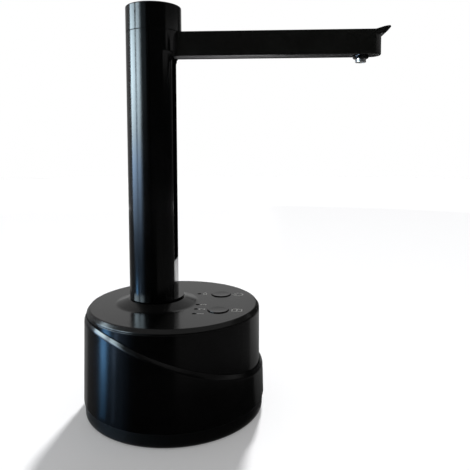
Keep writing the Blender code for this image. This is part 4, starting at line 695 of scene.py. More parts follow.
SLOT_MATERIALS = {
    "gloss_black": PLASTIC_SIDE,
    "satin_black": PLASTIC_SATIN,
    "rubber": RUBBER,
    "steel": STEEL,
    "brass": BRASS,
    "white_plastic": NYLON,
    "smoke_lens": LENS,
    "board_green": BOARD,
    "cell_blue": WRAP,
    "silicone": SILICONE,
    "lead_red": LEAD_RED,
    "lead_black": LEAD_BLACK,
}


def dress_frame():
    """Gives every carried-over node the material of its slot."""
    for part in frame["record"]["subparts"]:
        node = frame["nodes"][part["node"]]
        for slot in node.material_slots:
            slot.material = SLOT_MATERIALS[part["material_slot"]]


# Base

def back_window():
    """Opening through the base's walls for the recess."""
    half_width = RECESS_HALF_WIDTH + GAP
    half_height = RECESS_HALF_HEIGHT + GAP
    return recess_bar(-FOOT_R - OVERRUN, -BOSS_RING_R, 0, half_width, half_height, RECESS_CORNER + GAP)


def boss_places():
    angles = [math.pi / BOSS_COUNT + math.tau * step / BOSS_COUNT for step in range(BOSS_COUNT)]
    return [(BOSS_RING_R * math.cos(angle), BOSS_RING_R * math.sin(angle)) for angle in angles]


def make_pad():
    profile = [(0, PAD_TOP_Z), (PAD_R, PAD_TOP_Z, FINE_EDGE), (PAD_R, 0, SOFT_EDGE)]
    pitch = PAD_R / (PAD_GROOVES + 1)
    for number in range(PAD_GROOVES, 0, -1):
        radius = pitch * number
        profile += [
            (radius + PAD_GROOVE_WIDTH, 0, HAIR_EDGE),
            (radius + PAD_GROOVE_WIDTH, PAD_GROOVE_DEPTH, HAIR_EDGE),
            (radius, PAD_GROOVE_DEPTH, HAIR_EDGE),
            (radius, 0, HAIR_EDGE),
        ]
    profile.append((0, 0))
    piece("non_slip_foot", turned(profile, ROUND_STEPS), RUBBER, ["non_slip_pad"])


def make_bottom_cover():
    under_z = PAD_TOP_Z + GAP
    floor_z = under_z + COVER_FLOOR
    profile = [
        (0, floor_z),
        (COVER_RIM_R, floor_z, SOFT_EDGE),
        (COVER_RIM_R, SEAM_Z, FINE_EDGE),
        (COVER_SEAM_R, SEAM_Z, FINE_EDGE),
        (COVER_FOOT_R, COVER_STAND, COVER_EDGE),
        (PAD_R + GAP, COVER_STAND, FINE_EDGE),
        (PAD_R + GAP, under_z),
        (0, under_z),
    ]
    shape = turned(profile, BASE_STEPS)
    places = boss_places()
    foot = under_z + COVER_FLOOR / 2
    shape = combined(shape, rods(PILLAR_R, places, foot, SEAM_Z - foot - GAP), "UNION")
    holes = rods(SCREW_HOLE_R, places, 0, SEAM_Z + OVERRUN)
    holes += rods(SCREW_SINK_R, places, 0, under_z + SCREW_SINK)
    piece("base_underside", combined(shape, holes), PLASTIC_FOOT, ["bottom_cover"])


def make_housing():
    inner_r = HOUSING_R - HOUSING_WALL
    profile = [
        (inner_r, HOUSING_TOP_Z, FINE_EDGE),
        (HOUSING_R, HOUSING_TOP_Z, SOFT_EDGE),
        (HOUSING_R, SHELL_FOOT_Z, FINE_EDGE),
        (inner_r, SHELL_FOOT_Z, FINE_EDGE),
    ]
    shape = turned(profile, BASE_STEPS)
    places = boss_places()
    shape = combined(shape, rods(BOSS_R, places, SHELL_FOOT_Z, BOSS_HEIGHT), "UNION")
    holes = rods(SCREW_HOLE_R, places, 0, SHELL_FOOT_Z + BOSS_HEIGHT - OVERRUN)
    shape = combined(shape, [*holes, back_window()])
    piece("base_housing", shape, PLASTIC_SIDE, ["upper_housing"])


def sleeve_edge_z(x):
    """Height of the sleeve's edge: a straight slope that bends level at the back."""
    if x > SLEEVE_BEND_X:
        return SLEEVE_FRONT_Z + (SLEEVE_TOP_R - x) * SLEEVE_SLOPE
    bend_z = SLEEVE_FRONT_Z + (SLEEVE_TOP_R - SLEEVE_BEND_X) * SLEEVE_SLOPE
    rise = SLEEVE_BACK_Z - bend_z
    share = min((SLEEVE_BEND_X - x) * SLEEVE_SLOPE / (2 * rise), 1)
    return bend_z + rise * (2 * share - share**2)


def make_sleeve():
    """Turned with its edge one metre up, and then each edge point is let down to its own height."""
    lifted = 1.0
    profile = [
        (SLEEVE_INNER_R, lifted, HAIR_EDGE),
        (SLEEVE_TOP_R, lifted - SLEEVE_CHAMFER_DROP, SLEEVE_LIP_R),
        (FOOT_R, SHELL_FOOT_Z, FINE_EDGE),
        (SLEEVE_INNER_R, SHELL_FOOT_Z, FINE_EDGE),
    ]
    shape = upright(profile)
    spun(shape, math.tau, BASE_STEPS, True)
    taper = SLEEVE_TAPER / (SLEEVE_BACK_Z - SHELL_FOOT_Z)
    middle_r = (SLEEVE_INNER_R + SLEEVE_TOP_R) / 2
    for vert in shape.verts:
        if vert.co.z < lifted / 2:
            continue
        drop = lifted - vert.co.z
        vert.co.z = sleeve_edge_z(vert.co.x) - drop
        flare = min(drop / SLEEVE_CHAMFER_DROP, 1) * taper * (SLEEVE_BACK_Z - vert.co.z)
        if vert.co.xy.length > middle_r or drop > 0:
            radius = vert.co.xy.length
            vert.co.xy *= (radius + flare * (radius > SLEEVE_INNER_R + MERGE)) / radius
    clean(shape)
    shape = combined(shape, [back_window()])
    piece("base_lower_sleeve", shape, PLASTIC_SIDE, ["base_sleeve"])


def rimmed_hole(radius, x, y, rim, steps=SMALL_STEPS):
    """Tool for a hole in the panel whose upper rim is rounded."""
    profile = [
        (0, SEAT_Z + OVERRUN),
        (radius + rim, SEAT_Z + OVERRUN),
        (radius + rim, PANEL_TOP_Z),
        (radius, PANEL_TOP_Z, rim * 0.999),
        (radius, PANEL_UNDER_Z - OVERRUN),
        (0, PANEL_UNDER_Z - OVERRUN),
    ]
    return turned(profile, steps, (x, y, 0))


def light_places():
    return [middle_of(f"light_guide_{number}") for number in range(1, 5)]


def button_places():
    """Middle of each key, by its name."""
    return {name: middle_of(f"{name}_button") for name in ("power", "amount")}


def make_top_panel():
    rib_r = HOUSING_R - HOUSING_WALL - GAP
    profile = [
        (0, PANEL_TOP_Z),
        (PANEL_DISC_R, PANEL_TOP_Z, SOFT_EDGE),
        (HOUSING_R, PANEL_UNDER_Z + PANEL_LAND, FINE_EDGE),
        (HOUSING_R, PANEL_UNDER_Z),
        (rib_r, PANEL_UNDER_Z),
        (rib_r, PANEL_UNDER_Z - PANEL_RIB, FINE_EDGE),
        (rib_r - PANEL_RIB_WALL, PANEL_UNDER_Z - PANEL_RIB, FINE_EDGE),
        (rib_r - PANEL_RIB_WALL, PANEL_UNDER_Z),
        (0, PANEL_UNDER_Z),
    ]
    shape = turned(profile, BASE_STEPS)
    slope = (CONE_R - CONE_TOP_R) / (SEAT_Z - PANEL_TOP_Z)
    middle_z = (PANEL_UNDER_Z + PANEL_TOP_Z) / 2
    cone_profile = [
        (0, SEAT_Z),
        (CONE_TOP_R, SEAT_Z, FINE_EDGE),
        (CONE_R + slope * (PANEL_TOP_Z - middle_z), middle_z),
        (0, middle_z),
    ]
    shape = combined(shape, [turned(cone_profile, COLUMN_STEPS, (COLUMN_X, 0, 0))], "UNION")

    def on_foot(spot):
        reach = math.hypot(spot.x - COLUMN_X, spot.y)
        return abs(spot.z - PANEL_TOP_Z) < MERGE * 10 and abs(reach - CONE_R) < HAIR_EDGE

    ease(shape, CONE_FILLET, on_foot, 5, 10)
    posts = [middle_of(f"board_screw_{number}").xy for number in (1, 2)]
    post_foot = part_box("control_board")[1].z + GAP
    shape = combined(shape, rods(POST_R, posts, post_foot, middle_z - post_foot), "UNION")
    holes = [
        rimmed_hole(BUTTON_R + BUTTON_GAP, spot.x, spot.y, FINE_EDGE, ROUND_STEPS)
        for spot in button_places().values()
    ]
    holes += [rimmed_hole(LIGHT_HOLE_R, spot.x, spot.y, HAIR_EDGE) for spot in light_places()]
    hole_foot = PANEL_UNDER_Z - OVERRUN
    screws = [(COLUMN_X + x, y) for x, y in column_screw_places()]
    holes += rods(HOSE_HOLE_R, [(COLUMN_X + RISER_X, 0)], hole_foot, PANEL_HOLE_DEPTH)
    holes += rods(SCREW_HOLE_R, screws, hole_foot, PANEL_HOLE_DEPTH)
    holes += rods(PILOT_R, posts, post_foot - OVERRUN, PILOT_DEPTH)
    shape = combined(shape, holes)
    # The panel takes the black gloss copy with painted light and reflection on its top
    piece("base_top_panel", shape, TOP_PLASTIC_PAINTED_LIGHT, ["top_panel"])


def column_screw_places():
    return [(FRONT_SCREW_X, 0), (REAR_SCREW_X, REAR_SCREW_Y), (REAR_SCREW_X, -REAR_SCREW_Y)]


def make_buttons():
    """Each key has a thumb-wide dish in its top and a flange that holds it under the panel."""
    flange_z = PANEL_UNDER_Z - GAP
    for name, spot in button_places().items():
        stem_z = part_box(f"{name}_button")[0].z
        dish = [
            (BUTTON_R * share, BUTTON_TOP_Z - BUTTON_DISH * (1 - share**2) - BUTTON_DISH_SINK)
            for share in (0, 0.2, 0.4, 0.6, 0.8)
        ]
        profile = dish + [
            (BUTTON_R, BUTTON_TOP_Z, HAIR_EDGE),
            (BUTTON_R, flange_z),
            (BUTTON_FLANGE_R, flange_z, HAIR_EDGE),
            (BUTTON_FLANGE_R, flange_z - BUTTON_FLANGE, HAIR_EDGE),
            (BUTTON_STEM_R, flange_z - BUTTON_FLANGE),
            (BUTTON_STEM_R, stem_z, HAIR_EDGE),
            (0, stem_z),
        ]
        shape = turned(profile, ROUND_STEPS, (spot.x, spot.y, 0))
        # Key tops take the black gloss copy with painted light and reflection
        piece(f"{name}_key_top", shape, TOP_PLASTIC_PAINTED_LIGHT, [f"{name}_button"], f"{name}_key")


def make_light_guides():
    for number, middle in enumerate(light_places(), 1):
        low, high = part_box(f"light_guide_{number}")
        radius = (high.x - low.x) / 2
        profile = [(0, high.z), (radius, high.z, FINE_EDGE), (radius, low.z), (0, low.z)]
        shape = turned(profile, SMALL_STEPS, (middle.x, middle.y, 0))
        piece(f"light_lens_{number}", shape, LENS, [f"light_guide_{number}"])


# Printed legends, which read from the arm's side of the pump

INK_THICK = 0.00003
NUMERAL_SIZE = 0.0058
NUMERAL_BOLD = 0.00018
LEGEND_SETBACK = 0.0042
SYMBOL_SETBACK = 0.0125
STROKE = 0.0009
CELL_HALF_LENGTH = 0.0026
CELL_HALF_WIDTH = 0.0014
POWER_R = 0.0034
POWER_GAP = math.radians(36)
POWER_BAR_LOW = 0.0008
POWER_BAR_HIGH = 0.0044
GLASS_HALF = 0.0036
GLASS_FOOT_HALF = 0.0026
GLASS_LEVEL_HALF = 0.0024


def printed(name, shape, x, y):
    """Lays a flat shape, drawn with its top along +Y, on the panel with its top along -X."""
    shape = placed(about_z(shape, math.pi / 2), (x, y, PANEL_TOP_Z + INK_THICK / 3))
    piece(name, shape, INK)


def numeral(text):
    curve = bpy.data.curves.new("numeral", "FONT")
    curve.body = text
    curve.size = NUMERAL_SIZE
    curve.align_x = "CENTER"
    curve.align_y = "CENTER"
    curve.extrude = INK_THICK / 2
    curve.offset = NUMERAL_BOLD
    obj = linked("numeral", curve)
    mesh = bpy.data.meshes.new_from_object(obj)
    shape = bmesh.new()
    shape.from_mesh(mesh)
    bpy.data.meshes.remove(mesh)
    bpy.data.objects.remove(obj)
    bpy.data.curves.remove(curve)
    return shape


def frame_line(points):
    """Closed outline drawn as a stroke of even width."""
    shape = filled(points)
    inner = shape.faces[:]
    bmesh.ops.inset_region(shape, faces=inner, thickness=STROKE, use_boundary=True, use_even_offset=True)
    bmesh.ops.delete(shape, geom=inner, context="FACES")
    return drawn_out(shape, (0, 0, INK_THICK))


def arc_line(radius, first_angle, turn, steps=SMALL_STEPS):
    """Stroke along part of a circle."""
    inner, outer = radius - STROKE / 2, radius + STROKE / 2
    shape = filled([(inner, 0, 0), (outer, 0, 0), (outer, 0, INK_THICK), (inner, 0, INK_THICK)])
    spun(about_z(shape, first_angle), turn, steps, False)
    return shape


def merged(*shapes):
    """Shapes side by side in one mesh."""
    result = bmesh.new()
    for shape in shapes:
        mesh = mesh_of("merged", shape)
        result.from_mesh(mesh)
        bpy.data.meshes.remove(mesh)
    return result


def bar_line(low, high):
    return block((*low, 0), (*high, INK_THICK))


def make_legends():
    half = STROKE / 2
    lights = sorted(light_places(), key=lambda spot: spot.y)
    for number, spot in enumerate(lights[:3], 1):
        printed(f"numeral_{number}", numeral(str(number)), spot.x + LEGEND_SETBACK, spot.y)
    corners = ((-1, -1), (1, -1), (1, 1), (-1, 1))
    cell = frame_line([(CELL_HALF_LENGTH * x, CELL_HALF_WIDTH * y, 0, FINE_EDGE) for x, y in corners])
    nub_x = CELL_HALF_LENGTH + GAP
    charge = merged(cell, bar_line((nub_x, -half), (nub_x + STROKE, half)))
    printed("charge_symbol", charge, lights[-1].x + LEGEND_SETBACK, lights[-1].y)
    circle = arc_line(POWER_R, math.pi / 2 + POWER_GAP, math.tau - 2 * POWER_GAP)
    power = merged(circle, bar_line((-half, POWER_BAR_LOW), (half, POWER_BAR_HIGH)))
    glass = frame_line(
        [
            (-GLASS_HALF, GLASS_HALF, 0, HAIR_EDGE),
            (-GLASS_FOOT_HALF, -GLASS_HALF, 0, SOFT_EDGE),
            (GLASS_FOOT_HALF, -GLASS_HALF, 0, SOFT_EDGE),
            (GLASS_HALF, GLASS_HALF, 0, HAIR_EDGE),
        ]
    )
    amount = merged(glass, bar_line((-GLASS_LEVEL_HALF, -half), (GLASS_LEVEL_HALF, half)))
    spots = button_places()
    printed("power_symbol", power, spots["power"].x + SYMBOL_SETBACK, spots["power"].y)
    printed("glass_symbol", amount, spots["amount"].x + SYMBOL_SETBACK, spots["amount"].y)


# Column

def along_column(points):
    return Vector(points) + Vector((COLUMN_X, 0, 0))


def column_block(low, high):
    return block(along_column(low), along_column(high))


def column_rod(radius, at, length, axis="Z", steps=SMALL_STEPS):
    return rod(radius, along_column(at), length, axis, steps)


def column_round():
    """Whole round of the column, with its eased foot and top."""
    profile = [
        (0, COLUMN_TOP_Z),
        (COLUMN_R, COLUMN_TOP_Z, HAIR_EDGE),
        (COLUMN_R, COLUMN_FOOT_Z, FOOT_EDGE),
        (0, COLUMN_FOOT_Z),
    ]
    return turned(profile, COLUMN_STEPS, (COLUMN_X, 0, 0))


def column_hollow():
    floor_z = COLUMN_FOOT_Z + FOOT_SOLID
    hollow = column_rod(
        COLUMN_R - COLUMN_WALL, (0, 0, floor_z), COLUMN_TOP_Z + OVERRUN - floor_z, "Z", COLUMN_STEPS
    )
    front = column_block((FLAT_X - FRONT_WALL, -COLUMN_R, 0), (2 * COLUMN_R, COLUMN_R, CAP_TOP_Z))
    return combined(hollow, [front])


def pocket(grow):
    """Space behind the channel where the folded arm's nozzle goes, or its wall."""
    half = POCKET_HALF + grow
    middle_z = HINGE.z - NOZZLE_X
    back_x = HINGE_X - ARM_HALF - POCKET_DEPTH - grow
    return column_block((back_x, -half, middle_z - half), (2 * SPLIT_X, half, middle_z + half))


def flat_cut(reach, angle):
    """Tool for a face at a reach from the axis, turned about it, with its steep slope at the top."""
    depth = COLUMN_R - reach
    rise = depth * FLAT_SLOPE
    far_x = COLUMN_R + depth
    side = -FLAT_HALF_WIDTH
    points = [
        (reach, side, COLUMN_FOOT_Z + FOOT_FLANGE),
        (far_x, side, COLUMN_FOOT_Z + FOOT_FLANGE),
        (far_x, side, FLAT_TOP_Z + rise),
        (reach, side, FLAT_TOP_Z - rise),
    ]
    shape = plate(points, (0, 2 * FLAT_HALF_WIDTH, 0))
    return placed(about_z(shape, angle), (COLUMN_X, 0, 0))


def flat_front():
    """Tools for the flat front, whose upright sides are rounded into the column."""
    middle_x = FLAT_X - FLAT_SIDE_R
    middle_y = math.sqrt((COLUMN_R - FLAT_SIDE_R) ** 2 - middle_x**2)
    whole = math.atan2(middle_y, middle_x)
    tools = [flat_cut(FLAT_X, 0)]
    for step in range(1, FLAT_SIDE_CUTS):
        angle = whole * step / FLAT_SIDE_CUTS
        reach = middle_x * math.cos(angle) + middle_y * math.sin(angle) + FLAT_SIDE_R
        tools += [flat_cut(reach, angle), flat_cut(reach, -angle)]
    return tools


def seam_cuts():
    """Tools for the fine groove where the half shells meet."""
    seam_y = math.sqrt(COLUMN_R**2 - SPLIT_X**2)
    foot_z = COLUMN_FOOT_Z - OVERRUN
    length = CAP_TOP_Z - COLUMN_FOOT_Z
    return [column_rod(SEAM_R, (SPLIT_X, y, foot_z), length) for y in (-seam_y, seam_y)]


def column_half(low_x, high_x):
    """Hollow column without what stands between two places in X."""
    other_half = column_block((low_x, -2 * COLUMN_R, 0), (high_x, 2 * COLUMN_R, CAP_TOP_Z))
    return combined(column_round(), [other_half, column_hollow()])


def screw_bosses(spots):
    boss_z = COLUMN_FOOT_Z + FOOT_SOLID / 2
    return [column_rod(COLUMN_BOSS_R, (x, y, boss_z), COLUMN_BOSS_HEIGHT) for x, y in spots]


def screw_holes(spots):
    foot_z = COLUMN_FOOT_Z - OVERRUN
    return [column_rod(SCREW_HOLE_R, (x, y, foot_z), COLUMN_HOLE_DEPTH) for x, y in spots]


def make_front_shell():
    shape = column_half(-2 * COLUMN_R, SPLIT_X + GAP / 2)
    screws = column_screw_places()[:1]
    outer = CHANNEL_HALF + CHANNEL_WALL
    trough_x = HINGE_X - ARM_HALF - TROUGH_GAP
    walls = [
        column_block(
            (trough_x - CHANNEL_FLOOR, -outer, CHANNEL_BOTTOM_Z - CHANNEL_END_WALL),
            (FLAT_X - FRONT_WALL / 2, outer, COLUMN_TOP_Z - GAP),
        ),
        pocket(CHANNEL_WALL),
        *screw_bosses(screws),
        column_rod(PIN_BOSS_R, (HINGE_X, -PIN_BOSS_END_Y, HINGE.z), PIN_BOSS_END_Y - outer + GAP, "Y"),
    ]
    spigot_at = (HINGE_X, CHANNEL_HALF - OVERRUN, HINGE.z)
    spaces = [
        column_block((trough_x, -CHANNEL_HALF, CHANNEL_BOTTOM_Z), (2 * COLUMN_R, CHANNEL_HALF, CAP_TOP_Z)),
        pocket(0),
        *flat_front(),
        *seam_cuts(),
        *screw_holes(screws),
        column_rod(SPIGOT_HOLE_R, spigot_at, CHANNEL_WALL + 2 * OVERRUN, "Y"),
        column_rod(PIN_R + GAP, (HINGE_X, -PIN_END_Y - GAP, HINGE.z), PIN_END_Y, "Y"),
    ]
    shape = combined(combined(shape, walls, "UNION"), spaces)
    front_x = COLUMN_X + FLAT_X - HAIR_EDGE / 3
    front_foot_z = COLUMN_FOOT_Z + FOOT_FLANGE + HAIR_EDGE / 3

    def on_front(spot):
        return spot.x > front_x and front_foot_z < spot.z < COLUMN_TOP_Z - OVERRUN

    ease(shape, FINE_EDGE, on_front)
    piece("column_front", shape, PLASTIC_COLUMN, ["column_front_shell"])


def make_rear_shell():
    shape = column_half(SPLIT_X - GAP / 2, 2 * COLUMN_R)
    screws = column_screw_places()[1:]
    riser_hole = column_rod(HOSE_HOLE_R, (RISER_X, 0, COLUMN_FOOT_Z - OVERRUN), COLUMN_BOSS_HEIGHT)
    shape = combined(shape, screw_bosses(screws), "UNION")
    shape = combined(shape, [*screw_holes(screws), riser_hole, *seam_cuts()])
    piece("column_rear", shape, PLASTIC_COLUMN, ["column_rear_shell"])


def make_cap():
    inner_r = COLUMN_R - CAP_WALL
    roof_z = CAP_TOP_Z - CAP_ROOF
    profile = [
        (0, CAP_TOP_Z),
        (COLUMN_R, CAP_TOP_Z, CAP_EDGE),
        (COLUMN_R, CAP_FOOT_Z, HAIR_EDGE),
        (inner_r, CAP_FOOT_Z),
        (inner_r, roof_z, FINE_EDGE),
        (0, roof_z),
    ]
    shape = turned(profile, COLUMN_STEPS, (COLUMN_X, 0, 0))
    plug_r = COLUMN_R - COLUMN_WALL - GAP
    plug_profile = [
        (inner_r + GAP, CAP_FOOT_Z + CAP_PLUG_DEPTH),
        (inner_r + GAP, CAP_FOOT_Z + GAP),
        (plug_r, CAP_FOOT_Z + GAP),
        (plug_r, CAP_FOOT_Z - CAP_PLUG_DEPTH, FINE_EDGE),
        (plug_r - CAP_PLUG_WALL, CAP_FOOT_Z - CAP_PLUG_DEPTH, FINE_EDGE),
        (plug_r - CAP_PLUG_WALL, CAP_FOOT_Z + CAP_PLUG_DEPTH),
    ]
    front = column_block((CAP_PLUG_FRONT_X, -COLUMN_R, 0), (COLUMN_R, COLUMN_R, CAP_TOP_Z))
    plug = combined(turned(plug_profile, COLUMN_STEPS, (COLUMN_X, 0, 0)), [front])
    piece("column_top_cap", combined(shape, [plug], "UNION"), PLASTIC_COLUMN, ["column_cap"])


# Arm, drawn from its hinge and then moved there

def plan_bar(reach, half_width, start_x, z, corner, height):
    """Bar drawn up from its outline seen from above, with round corners at its free end."""
    outline = [
        (start_x, half_width, z),
        (start_x, -half_width, z),
        (reach, -half_width, z, corner),
        (reach, half_width, z, corner),
    ]
    return plate(outline, (0, 0, height), ARM_END_STEPS)


def root_outline():
    """Tool seen from the side that rounds the arm's root about the hinge."""
    side = -2 * ARM_HALF_WIDTH
    points = []
    for step in range(SMALL_STEPS + 1):
        angle = math.pi * (0.5 + step / SMALL_STEPS)
        points.append((ARM_HALF * math.cos(angle), side, ARM_HALF * math.sin(angle)))
    far = ARM_REACH + 2 * LIP_REACH
    points += [(0, side, -2 * ARM_HALF), (far, side, -2 * ARM_HALF)]
    points += [(far, side, 2 * ARM_HALF), (0, side, 2 * ARM_HALF)]
    return points


def arm_outline():
    """Arm seen from the side, with the finger lip that flares up from its top."""
    side = -2 * ARM_HALF_WIDTH
    tip_x = ARM_REACH + LIP_REACH
    tip_z = ARM_HALF + LIP_RISE
    start_x = ARM_REACH - LIP_FLARE
    top_reach = tip_x - LIP_TOP_SETBACK - start_x
    rise = []
    for step in range(LIP_STEPS + 1):
        share = step / LIP_STEPS
        lift = LIP_RISE * (3 * share**2 - 2 * share**3) ** LIP_CURVE
        rise.append((start_x + top_reach * share, side, ARM_HALF + lift))
    return [
        (-ARM_HALF - OVERRUN, side, -ARM_HALF),
        (-ARM_HALF - OVERRUN, side, ARM_HALF),
        *rise,
        (tip_x, side, tip_z - LIP_TIP_DROP, FINE_EDGE),
        (tip_x - LIP_BACK_SETBACK, side, tip_z - LIP_THICK, FINE_EDGE),
        (ARM_REACH + LIP_UNDER_REACH, side, ARM_HALF - LIP_UNDER_DEPTH, LIP_UNDER_R),
        (ARM_END_X, side, ARM_HALF - LIP_ROOT_DEPTH, SOFT_EDGE),
        (ARM_END_X, side, -ARM_HALF),
    ]


def make_arm():
    width = 4 * ARM_HALF_WIDTH
    height = 2 * ARM_HALF
    lip_foot = ARM_HALF - LIP_ROOT_DEPTH
    bar = plan_bar(ARM_END_X, ARM_HALF_WIDTH, -ARM_HALF, -ARM_HALF, ARM_CORNER, height)
    ease(bar, ARM_UNDER_EASE, lambda spot: spot.z < -ARM_HALF + HAIR_EDGE and spot.x > 0)
    lip_end = ARM_REACH + LIP_REACH + OVERRUN
    lip_height = ARM_HALF + 2 * LIP_RISE - lip_foot
    lip = plan_bar(lip_end, ARM_HALF_WIDTH, ARM_END_X - ARM_CORNER, lip_foot, 0, lip_height)
    shape = combined(
        combined(bar, [lip], "UNION"),
        [plate(arm_outline(), (0, width, 0)), plate(root_outline(), (0, width, 0))],
        "INTERSECT",
    )

    def on_top(spot):
        on_lip = spot.x > ARM_END_X and spot.z > lip_foot
        return spot.x > -ARM_HALF / 2 and (spot.z > ARM_HALF - HAIR_EDGE or on_lip)

    ease(shape, ARM_EDGE, on_top, 4)
    inner = ARM_HALF_WIDTH - ARM_WALL
    inner_end = ARM_REACH - ARM_END_WALL
    inner_corner = ARM_CORNER - ARM_WALL
    space_foot = -ARM_HALF - OVERRUN
    space_height = height - ARM_ROOF + OVERRUN
    space_start = -ARM_HALF + ARM_END_WALL
    space = plan_bar(inner_end + GAP, inner, space_start, space_foot, inner_corner, space_height)
    side_hole = ARM_WALL + 2 * OVERRUN
    shape = combined(
        shape,
        [
            space,
            rod(SPIGOT_HOLE_R, (0, inner - OVERRUN, 0), side_hole, "Y"),
            rod(PIN_R + GAP, (0, -ARM_HALF_WIDTH - OVERRUN, 0), side_hole, "Y"),
        ],
    )
    piece("spout_arm", placed(shape, HINGE), PLASTIC_ARM, ["arm_shell"], "arm")
    cover_corner = inner_corner - GAP
    cover_z = -ARM_HALF + GAP
    cover = plan_bar(inner_end, inner - GAP, ARM_COVER_START, cover_z, cover_corner, ARM_COVER_THICK)
    hole_length = ARM_COVER_THICK + 2 * OVERRUN
    cover = combined(cover, [rod(NOZZLE_R + GAP, (NOZZLE_X, 0, space_foot), hole_length)])
    ease(cover, HAIR_EDGE, steps=2)
    cover = placed(cover, HINGE)
    piece("spout_lower_cover", cover, PLASTIC_SATIN, ["arm_lower_cover"], "arm")


def make_nozzle():
    spot = HINGE + Vector((NOZZLE_X, 0, 0))
    under = -ARM_HALF - GAP
    neck = NOZZLE_R + GAP
    collar_profile = [
        (neck, under),
        (COLLAR_R, under, HAIR_EDGE),
        (COLLAR_R - NOZZLE_WALL / 2, under - COLLAR_THICK, SOFT_EDGE),
        (neck, under - COLLAR_THICK, HAIR_EDGE),
    ]
    collar = turned(collar_profile, ROUND_STEPS, spot)
    piece("nozzle_ring", collar, PLASTIC_COLUMN, ["nozzle_collar"], "arm")
    low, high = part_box("nozzle_tube")
    foot = low.z - HINGE.z
    top = high.z - HINGE.z
    seat = -ARM_HALF + GAP + ARM_COVER_THICK + GAP
    flange_r = (high.x - low.x) / 2
    bore = NOZZLE_R - NOZZLE_WALL
    groove_top, groove_middle, groove_low = (foot + height for height in NOZZLE_GROOVE_AT)
    tube_profile = [
        (NOZZLE_INLET_R, top),
        (NOZZLE_STUB_R, top, HAIR_EDGE),
        (NOZZLE_STUB_R, seat + NOZZLE_FLANGE),
        (flange_r, seat + NOZZLE_FLANGE, HAIR_EDGE),
        (flange_r, seat, HAIR_EDGE),
        (NOZZLE_R, seat),
        (NOZZLE_R, groove_top, HAIR_EDGE),
        (NOZZLE_R - NOZZLE_GROOVE_DEPTH, groove_middle),
        (NOZZLE_R, groove_low, HAIR_EDGE),
        (NOZZLE_R, foot, FINE_EDGE),
        (bore, foot, HAIR_EDGE),
        (bore, seat, HAIR_EDGE),
        (NOZZLE_INLET_R, seat + NOZZLE_WALL),
    ]
    tube = turned(tube_profile, ROUND_STEPS, spot)
    piece("nozzle_spout", tube, NOZZLE_STEEL, ["nozzle_tube"], "arm")
    low_z, high_z = foot + BLADE_LOW, foot + BLADE_HIGH
    blades = []
    for number in range(BLADE_COUNT):
        blade = block((-bore, -BLADE_HALF, low_z), (bore, BLADE_HALF, high_z))
        blades.append(placed(about_z(blade, math.pi * number / BLADE_COUNT), spot))
    inner, outer = bore - BLADE_RIM_WALL, bore - GAP / 6
    rim = turned([(inner, high_z), (outer, high_z), (outer, low_z), (inner, low_z)], ROUND_STEPS, spot)
    piece("nozzle_straightener", combined(rim, blades, "UNION"), NYLON, body="arm")


# Recess with the socket and the hose inlet

def make_recess():
    wall_x = RECESS_BACK_X - RECESS_WALL
    outer = recess_bar(
        RECESS_MOUTH_X, RECESS_BACK_X, 0, RECESS_HALF_WIDTH, RECESS_HALF_HEIGHT, RECESS_CORNER
    )
    inner_width = RECESS_HALF_WIDTH - RECESS_WALL
    inner_height = RECESS_HALF_HEIGHT - RECESS_WALL
    inner_corner = RECESS_CORNER - RECESS_WALL
    space = recess_bar(RECESS_MOUTH_X - OVERRUN, wall_x, 0, inner_width, inner_height, inner_corner)
    low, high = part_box("charging_socket")
    half_width = (high.y - low.y) / 2
    half_height = (high.z - low.z) / 2
    hole_x = RECESS_BACK_X - 2 * OVERRUN
    socket_hole = recess_bar(
        hole_x, RECESS_BACK_X + OVERRUN, SOCKET_Y, half_width + GAP, half_height + GAP, half_height
    )
    inlet_hole = rod(INLET_HOLE_R, (hole_x, INLET_Y, RECESS_Z), 3 * OVERRUN, "X")
    shape = combined(outer, [space, socket_hole, inlet_hole])
    ease(shape, FINE_EDGE, lambda spot: spot.x < RECESS_MOUTH_X + HAIR_EDGE)

    def in_corner(spot):
        beside_socket = abs(spot.y - SOCKET_Y) > half_width + OVERRUN
        beside_wall = abs(spot.y) > inner_width - RECESS_CORNER
        return abs(spot.x - wall_x) < HAIR_EDGE and beside_socket and beside_wall

    ease(shape, SOFT_EDGE, in_corner)
    piece("back_recess", shape, PLASTIC_SATIN, ["port_recess"])
    shell = rounded_bar(low, high, half_height * SOCKET_ROUNDNESS)
    mouth = rounded_bar(
        (low.x - OVERRUN, low.y + SOCKET_WALL, low.z + SOCKET_WALL),
        (high.x - 2 * SOCKET_WALL, high.y - SOCKET_WALL, high.z - SOCKET_WALL),
        (half_height - SOCKET_WALL) * SOCKET_ROUNDNESS,
    )
    shell = combined(shell, [mouth])
    ease(shell, HAIR_EDGE, lambda spot: spot.x < low.x + HAIR_EDGE, 2)
    piece("charging_port", shell, STEEL, ["charging_socket"])
    back_x = high.x - 2 * SOCKET_WALL + HAIR_EDGE
    tongue = recess_bar(
        low.x + TONGUE_SETBACK, back_x, SOCKET_Y, TONGUE_HALF_WIDTH, TONGUE_HALF_HEIGHT, HAIR_EDGE
    )
    piece("charging_port_tongue", tongue, PLASTIC_SATIN)


